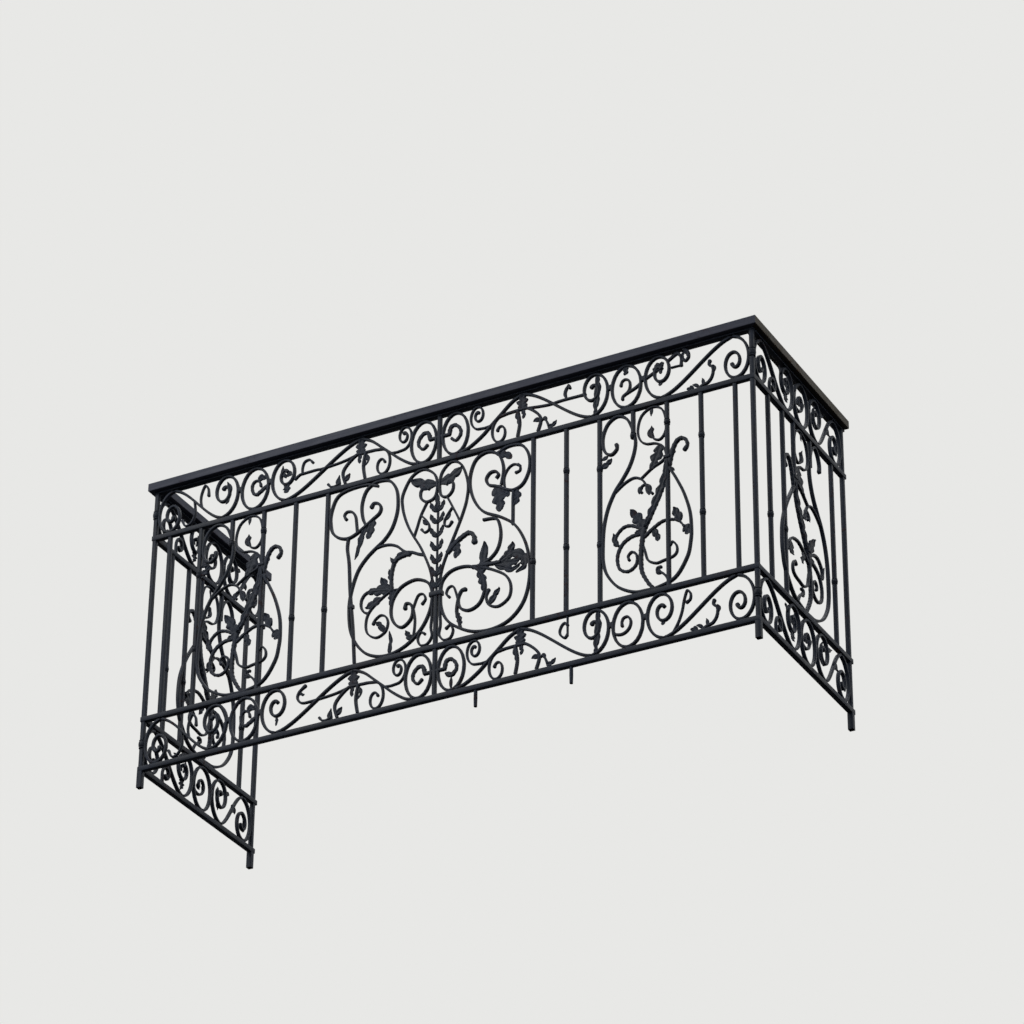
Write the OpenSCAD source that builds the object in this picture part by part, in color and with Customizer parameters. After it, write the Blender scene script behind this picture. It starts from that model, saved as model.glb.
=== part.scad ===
// Wrought iron balcony railing: a front and two short sides that run back to the wall.
// Two scrollwork friezes, a panel of square bars, a lyre in the middle and four teardrop ornaments.
// The front looks along -Y, the wall is on the +Y side, and the feet stand on z = 0.

/* [Overall] */
// Width of the front, between the axes of the two corner posts
front_w = 2028; // [1900:1:2300]
// Depth of each side, from the corner post's axis to the wall post's axis
side_d = 622; // [580:1:720]
// Length of the rail ends that run on past the wall posts into the wall
wall_end = 14; // [10:1:60]

/* [Heights] */
// Height of the feet, from the floor to the bottom rail
foot_h = 53; // [30:1:90]
// Clear height of each scrollwork frieze
frieze_h = 150; // [130:1:175]
// Clear height of the panel with the upright bars
panel_h = 609; // [520:1:700]

/* [Iron sections] */
// Side of the square rails
rail = 16; // [12:0.5:20]
// Side of the square corner and wall posts
post = 13; // [10:0.5:16]
// Side of the square upright bars
bar = 12; // [8:0.5:14]
// Thickness of the scroll iron, seen from the front
scroll_t = 8; // [5:0.5:9]
// Depth of the scroll iron, from front to back
scroll_d = 9; // [5:0.5:11]
// Thickness of the lighter curls and vines
vine_t = 6; // [4:0.5:7]

/* [Handrail] */
// Width of the handrail
hand_w = 46; // [34:1:60]
// Height of the handrail
hand_h = 28; // [22:1:36]
// Thickness of the flat bar that carries the handrail
bed_h = 7; // [5:0.5:12]

/* [Upright bars] */
// Distance from a corner post's axis to the first bar's axis
first_bar = 56; // [40:1:70]
// Pitch of the bars right of the middle
pitch_right = 109; // [104:0.5:113]
// Pitch of the bars left of the middle
pitch_left = 112.5; // [107:0.5:116]
// Place of the middle bar, measured from the centre of the front
middle_x = -14; // [-20:1:10]
// Width of the turned collars on the bars
collar_w = 19.5; // [15:0.5:22]
// Height of the collars on the bars
collar_h = 18; // [14:1:26]
// Width of the bosses that tie the end scrolls to the corner posts
boss_w = 24; // [20:0.5:28]
// Height of those bosses
boss_h = 28; // [20:1:36]

/* [Sides] */
// Distance from the corner post to the first bar of a side
side_bar_1 = 99; // [80:1:110]
// Distance from the corner post to the second bar of a side
side_bar_2 = 196; // [180:1:205]
// Distance from the wall post back to the last bar of a side
side_bar_4 = 84; // [70:1:100]
// Distance from the corner post to the far edge of a side's teardrop
side_drop_far = 502; // [490:1:510]

/* [Feet] */
// Side of the square feet under the posts
foot_w = 17; // [14:1:24]
// Diameter of the round pins under the middle of the front
pin_d = 11; // [8:0.5:15]

/* [Hidden] */

// Levels, from the floor up
bottom_rail_z = foot_h;
low_frieze_z = bottom_rail_z + rail;
lower_rail_z = low_frieze_z + frieze_h;
panel_z = lower_rail_z + rail;
upper_rail_z = panel_z + panel_h;
high_frieze_z = upper_rail_z + rail;
bed_z = high_frieze_z + frieze_h;
hand_z = bed_z + bed_h;
LEFT = -1;
RIGHT = 1;
half_w = front_w / 2;
wall_y = side_d + wall_end;
// The front plane stands so far forward that the origin is under the middle of the whole railing
front_y = (hand_w / 2 - wall_y) / 2;
iron = [0.16, 0.165, 0.19];
// Clearance between a scroll and the rail or bar that it touches
air = 0.15;
// Steps along curves
turn_step = 20;
link_steps = 7;
span_steps = 3;
leaf_steps = 10;
// Heights that the hand-drawn points of a frieze and of the panel are measured in
frieze_ref = 150;
panel_ref = 609;

// Geometry of curves: each path is a list of [across, up] points along the middle of a bar
function unit(p) = p / norm(p);
function back(path) = [for (i = [len(path) - 1:-1:0]) path[i]];

// A scroll that starts level at height v0, turns towards hand and tightens by the same share
// each turn, so that its first half turn ends level at height v1. Past hook_from it is drawn in
// faster, into a small hook.
hook_from = 450;
hook_pull = 0.5;

function roll(u, v0, v1, hand, turns, tight, slim) =
    let (
        lean = atan(-ln(tight) / (2 * PI)),
        ry = abs(v1 - v0) / (1 + sqrt(tight)),
        cv = v0 + sign(v1 - v0) * ry,
        n = ceil(turns * 360 / turn_step)
    )
    [for (i = [0:n])
        let (
            s = turns * 360 * i / n,
            drawn = hook_pull * pow(max(0, s - hook_from) / 180, 2),
            r = ry / cos(lean) * pow(tight, s / 360) * (1 - drawn)
        )
        [u + hand * slim * r * sin(s - lean), cv + sign(v0 - v1) * r * cos(s - lean)]];

// How far the first quarter turn of such a scroll reaches from its centre
function roll_reach(v0, v1, tight, slim) = slim * abs(v1 - v0) / (1 + sqrt(tight)) * pow(tight, 0.25);

// A smooth link that leaves p towards a and reaches q along b
function link(p, a, q, b, pull = 0.42) =
    let (h = pull * norm(q - p))
    [for (i = [1:link_steps - 1])
        let (t = i / link_steps, s = 1 - t)
        s * s * s * p + 3 * s * s * t * (p + h * a) + 3 * s * t * t * (q - h * b) + t * t * t * q];

// Fits drawn points to the size of their bay
function at(p, k, up) = [for (q = p) [q.x * k, q.y * up]];

// A smooth curve through a few points
function smooth(p, steps = span_steps) =
    let (n = len(p) - 1)
    concat([for (i = [0:n - 1]) for (k = [0:steps - 1])
        let (
            t = k / steps,
            a = p[max(i - 1, 0)], b = p[i], c = p[i + 1], d = p[min(i + 2, n)]
        )
        b + t / 2 * (c - a) + t * t * (a - 2.5 * b + 2 * c - d / 2)
            + t * t * t * (1.5 * (b - c) + (d - a) / 2)], [p[n]]);

// Draws a path as a flat strip that tapers from t0 to t1
module strip(path, t0, t1) {
    n = len(path) - 1;
    side = [for (i = [0:n])
        let (d = unit(path[min(i + 1, n)] - path[max(i - 1, 0)]), t = t0 + (t1 - t0) * i / n)
        t / 2 * [-d.y, d.x]];
    polygon(concat(
        [for (i = [0:n]) path[i] + side[i]],
        [for (i = [n:-1:0]) path[i] - side[i]]));
}

// A scroll bar whose ends are drawn out and snubbed
module bar_of(path, t, tip_a = false, tip_b = true) {
    strip(path, t, t);
    if (tip_a) translate(path[0]) circle(d = t * 1.5, $fn = 16);
    if (tip_b) translate(path[len(path) - 1]) circle(d = t * 1.5, $fn = 16);
}

// A closed oval ring
module ring(c, ru, rv, t) {
    n = 360 / turn_step;
    outer = [for (i = [0:n - 1]) c + [(ru + t / 2) * cos(i * turn_step), (rv + t / 2) * sin(i * turn_step)]];
    inner = [for (i = [0:n - 1]) c + [(ru - t / 2) * cos(i * turn_step), (rv - t / 2) * sin(i * turn_step)]];
    polygon(concat(outer, inner), paths = [[for (i = [0:n - 1]) i], [for (i = [0:n - 1]) n + i]]);
}

// Sets how far the drawing's points are stretched across and up
module fitted(across, up) {
    $across = across;
    $up = up;
    children();
}

// A forged vine through a few points of the drawing; it may start with points that are placed already
module vine(points, t0 = vine_t, t1 = vine_t, from = [], snub = true) {
    path = smooth(concat(from, at(points, $across, $up)));
    strip(path, t0, t1);
    if (snub) translate(path[len(path) - 1]) circle(d = t1 * 1.5, $fn = 16);
}

// A forged leaf along a few points of the drawing, with lobed edges
module blade(points, width, lobes = 2) {
    rib = smooth(at(points, $across, $up), ceil(leaf_steps / (len(points) - 1)));
    n = len(rib) - 1;
    half = [for (i = [0:n])
        let (
            d = unit(rib[min(i + 1, n)] - rib[max(i - 1, 0)]), s = i / n,
            w = width / 2 * (sin(180 * pow(s, 0.8)) * (0.75 + 0.25 * abs(sin(180 * lobes * s))) + 0.12)
        )
        w * [-d.y, d.x]];
    polygon(concat(
        [for (i = [0:n]) rib[i] + half[i]],
        [for (i = [n:-1:0]) rib[i] - half[i]]));
}

// Keeps a drawing inside its bay, a hair clear of the bars and rails round it. The bay runs from
// the face at u0 to the face at u1, and knots are the [across, up, width, height] of its collars.
module in_bay(u0, u1, height, knots = []) {
    difference() {
        intersection() {
            children();
            translate([u0 + air, air]) square([u1 - u0 - 2 * air, height - 2 * air]);
        }
        for (k = knots) translate([k[0], k[1]]) square([k[2] + 2 * air, k[3] + 2 * air], center = true);
    }
}

// Stands a drawing up in the front plane
module in_front(depth) {
    translate([0, front_y, 0]) rotate([90, 0, 0]) linear_extrude(depth, center = true) children();
}

// Stands a drawing up in the plane of one side, across measured from the corner post
module in_side(side, depth) {
    translate([side * half_w, front_y, 0]) rotate([90, 0, 90])
        linear_extrude(depth, center = true) children();
}

// Handrail and rails
function hand_profile() =
    let (w = hand_w / 2, top = 3, low = 1.5)
    concat(
        [for (g = [0:30:90]) [-w + low - low * sin(g), low - low * cos(g)]],
        [for (g = [0:30:90]) [-w + top - top * cos(g), hand_h - top + top * sin(g)]],
        [for (g = [90:-30:0]) [w - top + top * cos(g), hand_h - top + top * sin(g)]],
        [for (g = [90:-30:0]) [w - low + low * sin(g), low - low * cos(g)]]);

module handrail_plan(side) {
    out = half_w + hand_w / 2;
    in = half_w - hand_w / 2;
    h = hand_w / 2;
    if (side == 0) polygon([[-out, -h], [out, -h], [in, h], [-in, h]]);
    else polygon([[side * out, -h], [side * out, wall_y], [side * in, wall_y], [side * in, h]]);
}

module handrail(side) {
    reach = front_w + 2 * hand_w;
    color(iron) translate([0, front_y, hand_z]) intersection() {
        if (side == 0) rotate([90, 0, 90]) linear_extrude(reach, center = true) polygon(hand_profile());
        else translate([side * half_w, wall_y, 0]) rotate([90, 0, 0])
            linear_extrude(wall_y + hand_w) polygon(hand_profile());
        linear_extrude(hand_h + 1) handrail_plan(side);
    }
}

// A square rail: side 0 is the front, which runs round both corners
module rail_at(side, z, h) {
    color(iron) translate([0, front_y, z]) {
        if (side == 0) translate([-half_w - rail / 2, -rail / 2, 0]) cube([front_w + rail, rail, h]);
        else translate([side * half_w - rail / 2, rail / 2, 0]) cube([rail, wall_y - rail / 2, h]);
    }
}

// Posts and bars
module collar(z, w, h) {
    edge = h / 5;
    translate([0, 0, z - h / 2]) rotate_extrude($fn = 32)
        polygon([[0, 0], [w / 2 - edge / 2, 0], [w / 2, edge], [w / 2, h - edge], [w / 2 - edge / 2, h],
            [0, h]]);
}

module upright(x, y, w, z0, z1) {
    translate([x - w / 2, y - w / 2, z0]) cube([w, w, z1 - z0]);
}

module post_at(x, y, collars) {
    color(iron) {
        for (z = [low_frieze_z, high_frieze_z]) {
            upright(x, y, post, z, z + frieze_h);
            if (collars) translate([x, y, 0]) collar(z + frieze_h / 2, boss_w, boss_h);
        }
        upright(x, y, post, panel_z, panel_z + panel_h);
    }
}

// Bar axes: right of the middle and left of the middle, counted from the corner posts
function bar_x(side, i) = side * (half_w - first_bar - i * (side == RIGHT ? pitch_right : pitch_left));

module panel_bar(x, y, knots) {
    upright(x, y, bar, panel_z, panel_z + panel_h);
    for (k = knots) translate([x, y, 0]) collar(panel_z + k * panel_h / panel_ref, collar_w, collar_h);
}

// Heights of the collars on the panel's bars
mid_knot = 212;
high_knot = 468;

function knot_at(u, v) = [u, v * panel_h / panel_ref, collar_w, collar_h];

module bars_front(side) {
    free = side == RIGHT ? [0, 1, 4, 5, 6] : [0, 1, 4, 5];
    color(iron) {
        for (i = free) {
            knots = i == 0 ? [] : i >= 5 ? [mid_knot, high_knot] : [mid_knot];
            panel_bar(bar_x(side, i), front_y, knots);
        }
    }
}

module bars_side(side) {
    color(iron)
        for (u = [side_bar_1, side_bar_2, side_d - side_bar_4])
            panel_bar(side * half_w, front_y + u, [mid_knot]);
}

// Scrollwork friezes, drawn with across measured outwards from the middle bar or the corner post
lo = scroll_t / 2;
hi = frieze_h - scroll_t / 2;
end_tight = 0.385;
end_slim = 0.667;
trio_tight = 0.37;
trio_slim = 0.7;
trio_pitch = 109.5;
side_pitch = 105;
ring_ru = 47;
ring_rv = (hi - lo) / 2;
wave_ring_u = 54;
wave_ring_ru = 43;
wave_peak_right = 276;
wave_peak_left = 267;
// How far a long wave runs level before it turns into its slope
wave_pull = 0.24;
frieze_k = frieze_h / frieze_ref;

// End scroll by a post at across = 0, and the long diagonal from it to the trio's scroll at u
end_u = -post / 2 - scroll_t / 2 - roll_reach(hi, lo, end_tight, end_slim);
end_turns = 1.68;
trio_turns = 1.6;
end_tail = roll(end_u, hi, lo, 1, end_turns, end_tight, end_slim);
function trio_curl(u, hand) = roll(u, lo, hi, hand, trio_turns, trio_tight, trio_slim);
function diagonal(u) = link([end_u, hi], [-1, 0], [u, lo], [-1, 0], wave_pull);

// Point of the curl that the hook at the top grows from
top_hook_root = 13;

module end_group(u, kind) {
    slope = diagonal(u);
    curl = trio_curl(u, -1);
    bar_of(concat(back(end_tail), slope, curl), scroll_t, true, true);
    if (kind == "side") {
        translate([slope[3].x, 0]) {
            vine([[14, 62], [30, 55], [40, 34], [39, 5]], from = [[0, slope[3].y]]);
            blade([[14, 62], [9, 34], [13, 5]], 13);
        }
    } else if (kind == "left") {
        vine([[-160, 86], [-163, 112], [-174, 135], [-186, 120], [-188, 96]], from = [slope[3]]);
        vine([[-142, 44], [-128, 14], [-108, 10], [-96, 32]], from = [slope[2]]);
    } else if (kind != "wall") {
        vine([[-176, -2], [-157, 8], [-140, 16], [-129, 32], [-126, 48], [-133, 68]]);
        blade([[-158, 8], [-156, 22], [-158, 36]], 9, 1);
        if (kind == "top") {
            vine([[-244, 135], [-229, 125], [-226, 96]], from = [curl[top_hook_root]]);
            vine([[-219, 152], [-204, 122], [-214, 104]]);
        } else {
            vine([[-246, 42], [-234, 75], [-228, 105], [-218, 136], [-207, 125], [-208, 107],
                [-219, 99]], from = [slope[5]]);
        }
    }
}

// The oval ring in the middle of a trio, with its ties and its inner curl, drawn round across = 0
tie_w = trio_pitch - ring_ru - roll_reach(lo, hi, trio_tight, trio_slim);
tie_h = 20;
tie_rise = 11;

module trio_ring(kind) {
    ring([0, frieze_h / 2], ring_ru, ring_rv, scroll_t);
    for (s = [-1, 1]) translate([s * (ring_ru + tie_w / 2), frieze_h / 2 + tie_rise])
        square([tie_w, tie_h], center = true);
    if (kind == "top") {
        vine([[46, 72], [30, 62], [8, 53], [-10, 45], [-13, 34]], 9, vine_t);
        vine([[-10, 45], [6, 56], [12, 74], [9, 92], [-3, 100], [-14, 95], [-18, 82]], 8);
        blade([[-2, 146], [-1, 132], [-2, 116]], 11);
    } else if (kind == "left") {
        blade([[-3, 4], [-2, 36], [-4, 62]], 10, 3);
        vine([[-4, 60], [8, 70], [9, 90], [0, 104], [-12, 100], [-18, 84], [-10, 72]], 8);
        blade([[-3, 146], [-1, 128], [-2, 110]], 10);
    } else {
        vine([[-46, 62], [-38, 52], [-20, 48], [-4, 54], [7, 68], [9, 86], [0, 100], [-13, 99],
            [-19, 88], [-18, 74]], 8, vine_t);
    }
}

// Leaves inside the two scrolls of a trio
module trio_leaves(kind) {
    blade([[trio_pitch - 14, 124], [trio_pitch - 6, 108], [trio_pitch, 88]], 17);
    blade([[trio_pitch, 60], [trio_pitch + 2, 44]], 11, 1);
    if (kind == "left") blade([[-trio_pitch, 60], [-trio_pitch - 4, 44], [-trio_pitch - 11, 25]], 12);
    else blade([[14 - trio_pitch, 145], [16 - trio_pitch, 100], [10 - trio_pitch, 40], [5 - trio_pitch, 5]],
        19, 4);
}

// Ring by the middle bar, its curl, and the tie that crosses to the middle bar
wave_tie_w = 36;

module wave_ring(kind) {
    ring([wave_ring_u, frieze_h / 2], wave_ring_ru, ring_rv, scroll_t);
    translate([wave_tie_w / 2, 78 * frieze_k]) square([wave_tie_w, 10], center = true);
    vine([[33, 78], [38, 101], [54, 105], [70, 88], [71, 67], [56, 51], [42, 61]], 13, 7);
    if (kind == "bottom") blade([[56, 5], [55, 28], [56, 50]], 9, 1);
    if (kind == "bottom") blade([[34, 64], [56, 55], [78, 70]], 16);
}

// The wave that leaves the ring, the scroll over it and the arch under it
module wave_group(peak, near, kind) {
    shift = peak - wave_peak_right;
    rise = concat([[wave_ring_u + 16, lo]],
        at([[102 + shift / 2, 13], [144 + shift, 40], [175 + shift, 68], [207 + shift, 97],
            [244 + shift, 130]], 1, frieze_k), [[peak, hi]]);
    fall = link([peak, hi], [1, 0], [near, lo], [1, 0], wave_pull);
    bar_of(concat(smooth(rise), fall, trio_curl(near, 1)), scroll_t, false, true);
    translate([shift, 0]) {
        small = roll(131, 68 * frieze_k, hi, -1, 1.2, 0.5, 0.68);
        bar_of(concat(smooth([[175, 68 * frieze_k], [153, 66 * frieze_k]]), small), vine_t);
        blade([[131, 125], [132, 105], [134, 92]], 13, 1);
        under = roll(206, 92 * frieze_k, lo, -1, 1.2, 0.36, 0.64);
        bar_of(concat(back(under), smooth(at([[232, 95], [264, 96], [279, 96], [299, 94], [332, 65],
            [342, 40], [332, 4]], 1, frieze_k))), vine_t, true, false);
        vine([[264, 96], [271, 50], [264, 4]], snub = false);
        blade([[279, 94], [280, 118], [281, 146]], 34, 3);
        blade([[279, 96], [285, 80], [283, 60]], 13);
        blade([[342, 40], [329, 47], [316, 42]], 10);
        vine([[342, 40], [359, 36], [367, 16]]);
        blade([[364, 20], [376, 8], [392, 22]], 11);
    }
    wave_branch(shift, kind);
}

// What grows out of the arch on the far side of the wave differs from frieze to frieze
module wave_branch(shift, kind) {
    start = [299 + shift, 94];
    if (kind == "top") {
        vine([start, [364, 86], [414, 88], [488, 87]]);
        blade([[426, 88], [424, 112], [434, 136]], 11);
    } else if (kind == "bottom") {
        vine([[432, 152], [432, 128], [432, 86]], 4, 4, snub = false);
        vine([[432, 92], [424, 82], [411, 92], [407, 107], [414, 124], [424, 130], [432, 121]], 6.5);
    } else if (kind == "left top") {
        vine([start, [336, 85], [406, 80], [426, 82], [476, 81], [486, 80], [501, 70]]);
        vine([[476, 81], [477, 102], [470, 121], [453, 125], [441, 112]]);
    } else {
        vine([start, [336, 85], [411, 80], [446, 82], [461, 100], [456, 120], [436, 136]], vine_t, 7);
        blade([[456, 118], [446, 110], [436, 107]], 9);
    }
}

// Half of a front frieze; u runs outwards from the middle bar to the corner post at post_u
module frieze_half(side, top, post_u, trio_u) {
    kind = side == LEFT ? "left" : top ? "top" : "bottom";
    fitted(1, frieze_k) {
        translate([post_u, 0]) end_group(trio_u + trio_pitch - post_u, kind);
        translate([trio_u, 0]) trio_ring(kind);
        translate([trio_u, 0]) trio_leaves(kind);
        wave_ring(kind);
        wave_group(side == LEFT ? wave_peak_left : wave_peak_right, trio_u - trio_pitch,
            side == LEFT && top ? "left top" : kind);
    }
}

// A whole side frieze, with an end scroll by each post
module frieze_side() {
    trio_u = 332 * side_d / 622;
    fitted(1, frieze_k) {
        mirror([1, 0]) end_group(side_pitch - trio_u, "side");
        translate([side_d, 0]) end_group(trio_u + side_pitch - side_d, "wall");
        translate([trio_u, 0]) trio_ring("side");
    }
}

function trio_place(side) = side == RIGHT ? half_w - 404 - middle_x : half_w - 356 + middle_x;

module frieze_front(side, z) {
    reach = half_w - side * middle_x;
    color(iron) in_front(scroll_d) translate([middle_x, z]) scale([side, 1])
        in_bay(bar / 2, reach - post / 2, frieze_h, [[reach, frieze_h / 2, boss_w, boss_h]])
            frieze_half(side, z > panel_z, reach, trio_place(side));
}

module frieze_of_side(side, z) {
    color(iron) in_side(side, scroll_d) translate([0, z])
        in_bay(post / 2, side_d - post / 2, frieze_h, [[0, frieze_h / 2, boss_w, boss_h]]) frieze_side();
}

// Teardrop ornament, drawn across from its tangent bar (0) to its through bar (222)
drop_ref = 222;
drop_k = panel_h / panel_ref;
crest = panel_ref - scroll_t / 2;
// How far the body bulges out past the through bar, in the front and in the sides
front_bulge = 296;
side_bulge = 316;

// The scroll at the top of the long side, which is slimmer in the sides
front_head = [[56, 510], [56, 494], [39, 481], [20, 492], [11, 520], [13, 556], [30, 590], [60, crest],
    [89, 590], [106, 556], [118, 512]];
side_head = [[64, 516], [62, 500], [52, 493], [43, 504], [39, 528], [41, 558], [54, 590], [76, crest],
    [97, 590], [110, 556], [118, 512]];

// The outline from the head round the foot to the apex; what lies past the through bar swells with
// the bulge
body = [[114, 470], [98, 425], [73, 385], [48, 350], [26, 300], [13, 240], [9.5, 165], [12, 124],
    [24, 84], [58, 38], [108, 9], [148, scroll_t / 2], [190, 5], [244, 24], [282, 80], [293, 126],
    [296, 165], [292, 225], [274, 290], [250, 345], [230, 385], [222, 420]];

module teardrop(k, bulge, head) {
    swell = (bulge - drop_ref) / (front_bulge - drop_ref);
    outline = [for (p = concat(head, body))
        [p.x > drop_ref ? drop_ref + (p.x - drop_ref) * swell : p.x, p.y]];
    bar_of(smooth(at(outline, k, drop_k)), scroll_t, true, false);
    fitted(k, drop_k) {
        teardrop_branches();
        teardrop_leaves();
    }
}

module teardrop_branches() {
    // Branch over the teardrop with two small curls
    vine([[50, 350], [82, 373], [112, 383], [136, 373], [150, 353], [160, 330], [172, 316]], 7, vine_t);
    vine([[150, 353], [139, 348], [132, 338], [137, 328]]);
    // Thick stem from the apex to the foot
    vine([[222, 420], [210, 350], [188, 295], [162, 240], [144, 202], [136, 155], [133, 105], [137, 65],
        [157, 25], [172, 6]], 17, 10, snub = false);
    // Inner scroll and the arc over it
    vine([[144, 202], [136, 193], [102, 190], [72, 171], [57, 135], [64, 95], [92, 80], [117, 95], [120, 125],
        [105, 140], [92, 130], [95, 116]], 11, vine_t);
    vine([[144, 202], [108, 225], [80, 228], [58, 211], [51, 190], [60, 172]], 10, vine_t);
    // Arch beyond the stem, and the loop under it
    vine([[144, 178], [166, 195], [197, 213], [222, 216], [253, 206], [274, 180]], 10, vine_t);
    vine([[136, 165], [146, 133], [156, 100], [182, 84], [207, 87], [236, 92], [249, 105], [248, 125],
        [236, 140], [227, 132]], 7);
    vine([[224, 12], [212, 36], [197, 51], [185, 56], [186, 67], [197, 68]], 7);
    // Ring scroll above, its ball, and the hook beyond the through bar
    vine([[219, 430], [209, 462], [184, 480], [154, 486], [134, 504], [126, 540], [139, 585], [174, crest],
        [206, 590], [219, 545], [216, 510], [199, 490], [179, 497], [171, 518], [174, 532]]);
    blade([[180, 500], [168, 518], [174, 540]], 17, 1);
    blade([[173, crest], [172, 592], [171, 574]], 9, 1);
    vine([[226, 388], [238, 440], [252, 468], [268, 475], [283, 465], [287, 447], [278, 434]],
        13, scroll_t);
}

module teardrop_leaves() {
    blade([[144, 204], [132, 230], [118, 254], [102, 278]], 32, 3);
    blade([[60, 172], [50, 186], [46, 214]], 17);
    blade([[262, 200], [252, 224], [242, 250]], 26, 2);
    blade([[272, 184], [282, 170], [288, 150]], 26, 2);
    blade([[174, 198], [184, 176], [192, 152]], 20, 2);
    blade([[200, 474], [194, 450], [182, 424], [168, 392]], 34, 3);
    blade([[150, 352], [160, 334], [164, 310]], 18, 1);
    blade([[140, 350], [133, 340], [131, 322]], 14, 1);
    vine([[218, 424], [200, 412], [172, 400], [136, 374]], 7, vine_t, snub = false);
}

// Leaves on the tangent bar, only in the front
module bar_leaves() {
    blade([[6, 444], [24, 452], [42, 466]], 20, 2);
    blade([[6, 470], [18, 474], [30, 478]], 12, 1);
}

// Through bar of a teardrop, and the short bar above its shoulder
module drop_bars(k, full) {
    z = full ? 0 : 400 * drop_k;
    translate([drop_ref * k - bar / 2, z]) square([bar, panel_h - z]);
    translate([111 * k - bar / 2, 520 * drop_k]) square([bar, panel_h - 520 * drop_k]);
}

// Places a teardrop in the front: x of its tangent bar, stretched to its through bar
function drop_place(side) = side == RIGHT ? bar_x(RIGHT, 4) : bar_x(LEFT, 1);

function drop_stretch(side) = 2 * (side == RIGHT ? pitch_right : pitch_left) / drop_ref;

module teardrop_front(side) {
    k = drop_stretch(side);
    color(iron) {
        in_front(scroll_d) translate([drop_place(side), panel_z])
            in_bay(bar / 2, 310 * k, panel_h, [knot_at(0, mid_knot)]) {
                teardrop(k, front_bulge, front_head);
                fitted(k, drop_k) bar_leaves();
            }
        in_front(bar) translate([drop_place(side), panel_z]) drop_bars(k, true);
    }
}

side_k = 1.04;

module teardrop_side(side) {
    second = side_drop_far - side_bar_2;
    color(iron) {
        in_side(side, scroll_d) translate([side_drop_far, panel_z]) mirror([1, 0])
            in_bay(0, side_drop_far - side_bar_1 - bar / 2, panel_h,
                [knot_at(second, mid_knot), [second, panel_h / 2, bar, panel_h]])
                teardrop(side_k, side_bulge, side_head);
        in_side(side, bar) translate([side_drop_far, panel_z]) mirror([1, 0]) drop_bars(side_k, false);
    }
}

// Lyre, drawn across from the middle bar (0) to the bar that each half leans on
lyre_ref_right = 311;
lyre_ref_left = 372.5;
function lyre_bar_u(side) = abs(bar_x(side, side == RIGHT ? 6 : 5) - middle_x) - bar / 2 - scroll_t / 2;

module lyre_right() {
    // Arm: scroll at the top, long stem down beside the middle bar, small foot scroll
    vine([[26, 530], [36, 545], [50, 530], [48, 505], [30, 489], [9, 500], [3.7, 540], [13, 580], [44, crest],
        [78, 585], [100, 520], [98, 465], [84, 415], [60, 355], [34, 295], [17, 245], [12, 205], [12, 150],
        [14, 100], [16, 60], [12, 30], [28, 8], [50, 10], [59, 32], [50, 52], [36, 44]], scroll_t, vine_t);
    // Great scroll: upper turn, crossing, round the bottom and into the inner turn
    vine([[214, 480], [221, 535], [204, 585], [164, crest], [124, 585], [107, 525], [119, 460], [154, 405],
        [214, 370], [262, 330], [296, 265], [311, 190], [308, 120], [288, 62], [246, 20], [190, 4], [132, 10],
        [84, 32], [40, 68], [18, 115], [14, 165], [20, 205], [46, 230], [84, 236], [122, 226], [152, 195],
        [164, 150], [148, 102], [114, 85], [84, 98], [74, 128], [84, 155], [98, 158]], scroll_t, scroll_t);
    // Outer upper scroll, linked into the inner curl of the great scroll's upper turn
    vine([[170, 530], [163, 512], [172, 490], [196, 480], [214, 470], [226, 462], [256, 451], [288, 465],
        [308, 510], [305, 560], [280, 598], [236, crest], [200, 590]], scroll_t, scroll_t);
    vine([[226, 462], [223, 500], [236, 528], [254, 538]]);
    // Scroll under the crossing, and the lower scroll on the right
    vine([[154, 376], [196, 370], [210, 345], [214, 305], [204, 265], [178, 238], [144, 226], [122, 226]],
        scroll_t, scroll_t);
    vine([[122, 226], [160, 214], [196, 196], [232, 170], [249, 135], [244, 95], [210, 74], [178, 86],
        [168, 114], [176, 136]]);
    // Lighter branches inside the arm and inside the great scroll
    vine([[30, 489], [50, 448], [68, 410], [75, 391]], snub = false);
    vine([[50, 448], [36, 430], [24, 410], [24, 392], [38, 386], [48, 398]]);
    vine([[34, 295], [59, 320], [89, 340], [109, 345], [124, 330], [126, 310]], 16, 8);
    vine([[74, 128], [59, 175], [42, 178], [34, 160], [44, 146]]);
    vine([[74, 128], [71, 110], [70, 88], [76, 66], [84, 32]], snub = false);
    vine([[144, 226], [180, 222], [214, 220]], 13, 10, snub = false);
    vine([[214, 305], [218, 240], [224, 198], [232, 170]], snub = false);
    vine([[254, 334], [254, 380], [254, 425], [256, 451]], 8, 8, snub = false);
}

module lyre_right_leaves() {
    blade([[3.7, 540], [34, 548], [58, 560], [82, 578]], 34, 2);
    blade([[204, 588], [226, 580], [252, 560]], 24, 2);
    blade([[59, 320], [68, 300], [64, 268]], 26, 2);
    blade([[152, 195], [160, 240], [164, 306]], 25, 2);
    blade([[228, 226], [246, 248], [257, 274]], 26, 2);
    blade([[206, 220], [250, 236], [288, 220], [295, 190], [268, 168]], 30, 4);
    blade([[178, 86], [196, 112], [214, 134]], 20, 2);
    blade([[76, 66], [86, 60], [94, 44]], 20, 2);
    blade([[200, 482], [204, 454], [209, 424], [212, 386]], 42, 3);
    blade([[208, 460], [226, 448], [246, 434]], 20, 2);
    blade([[256, 455], [266, 438], [268, 418], [260, 394]], 24, 3);
    blade([[148, 220], [146, 190], [154, 148]], 22, 3);
    blade([[24, 410], [34, 418], [44, 430]], 14, 1);
    blade([[288, 465], [274, 478], [262, 500]], 15, 1);
}

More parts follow.
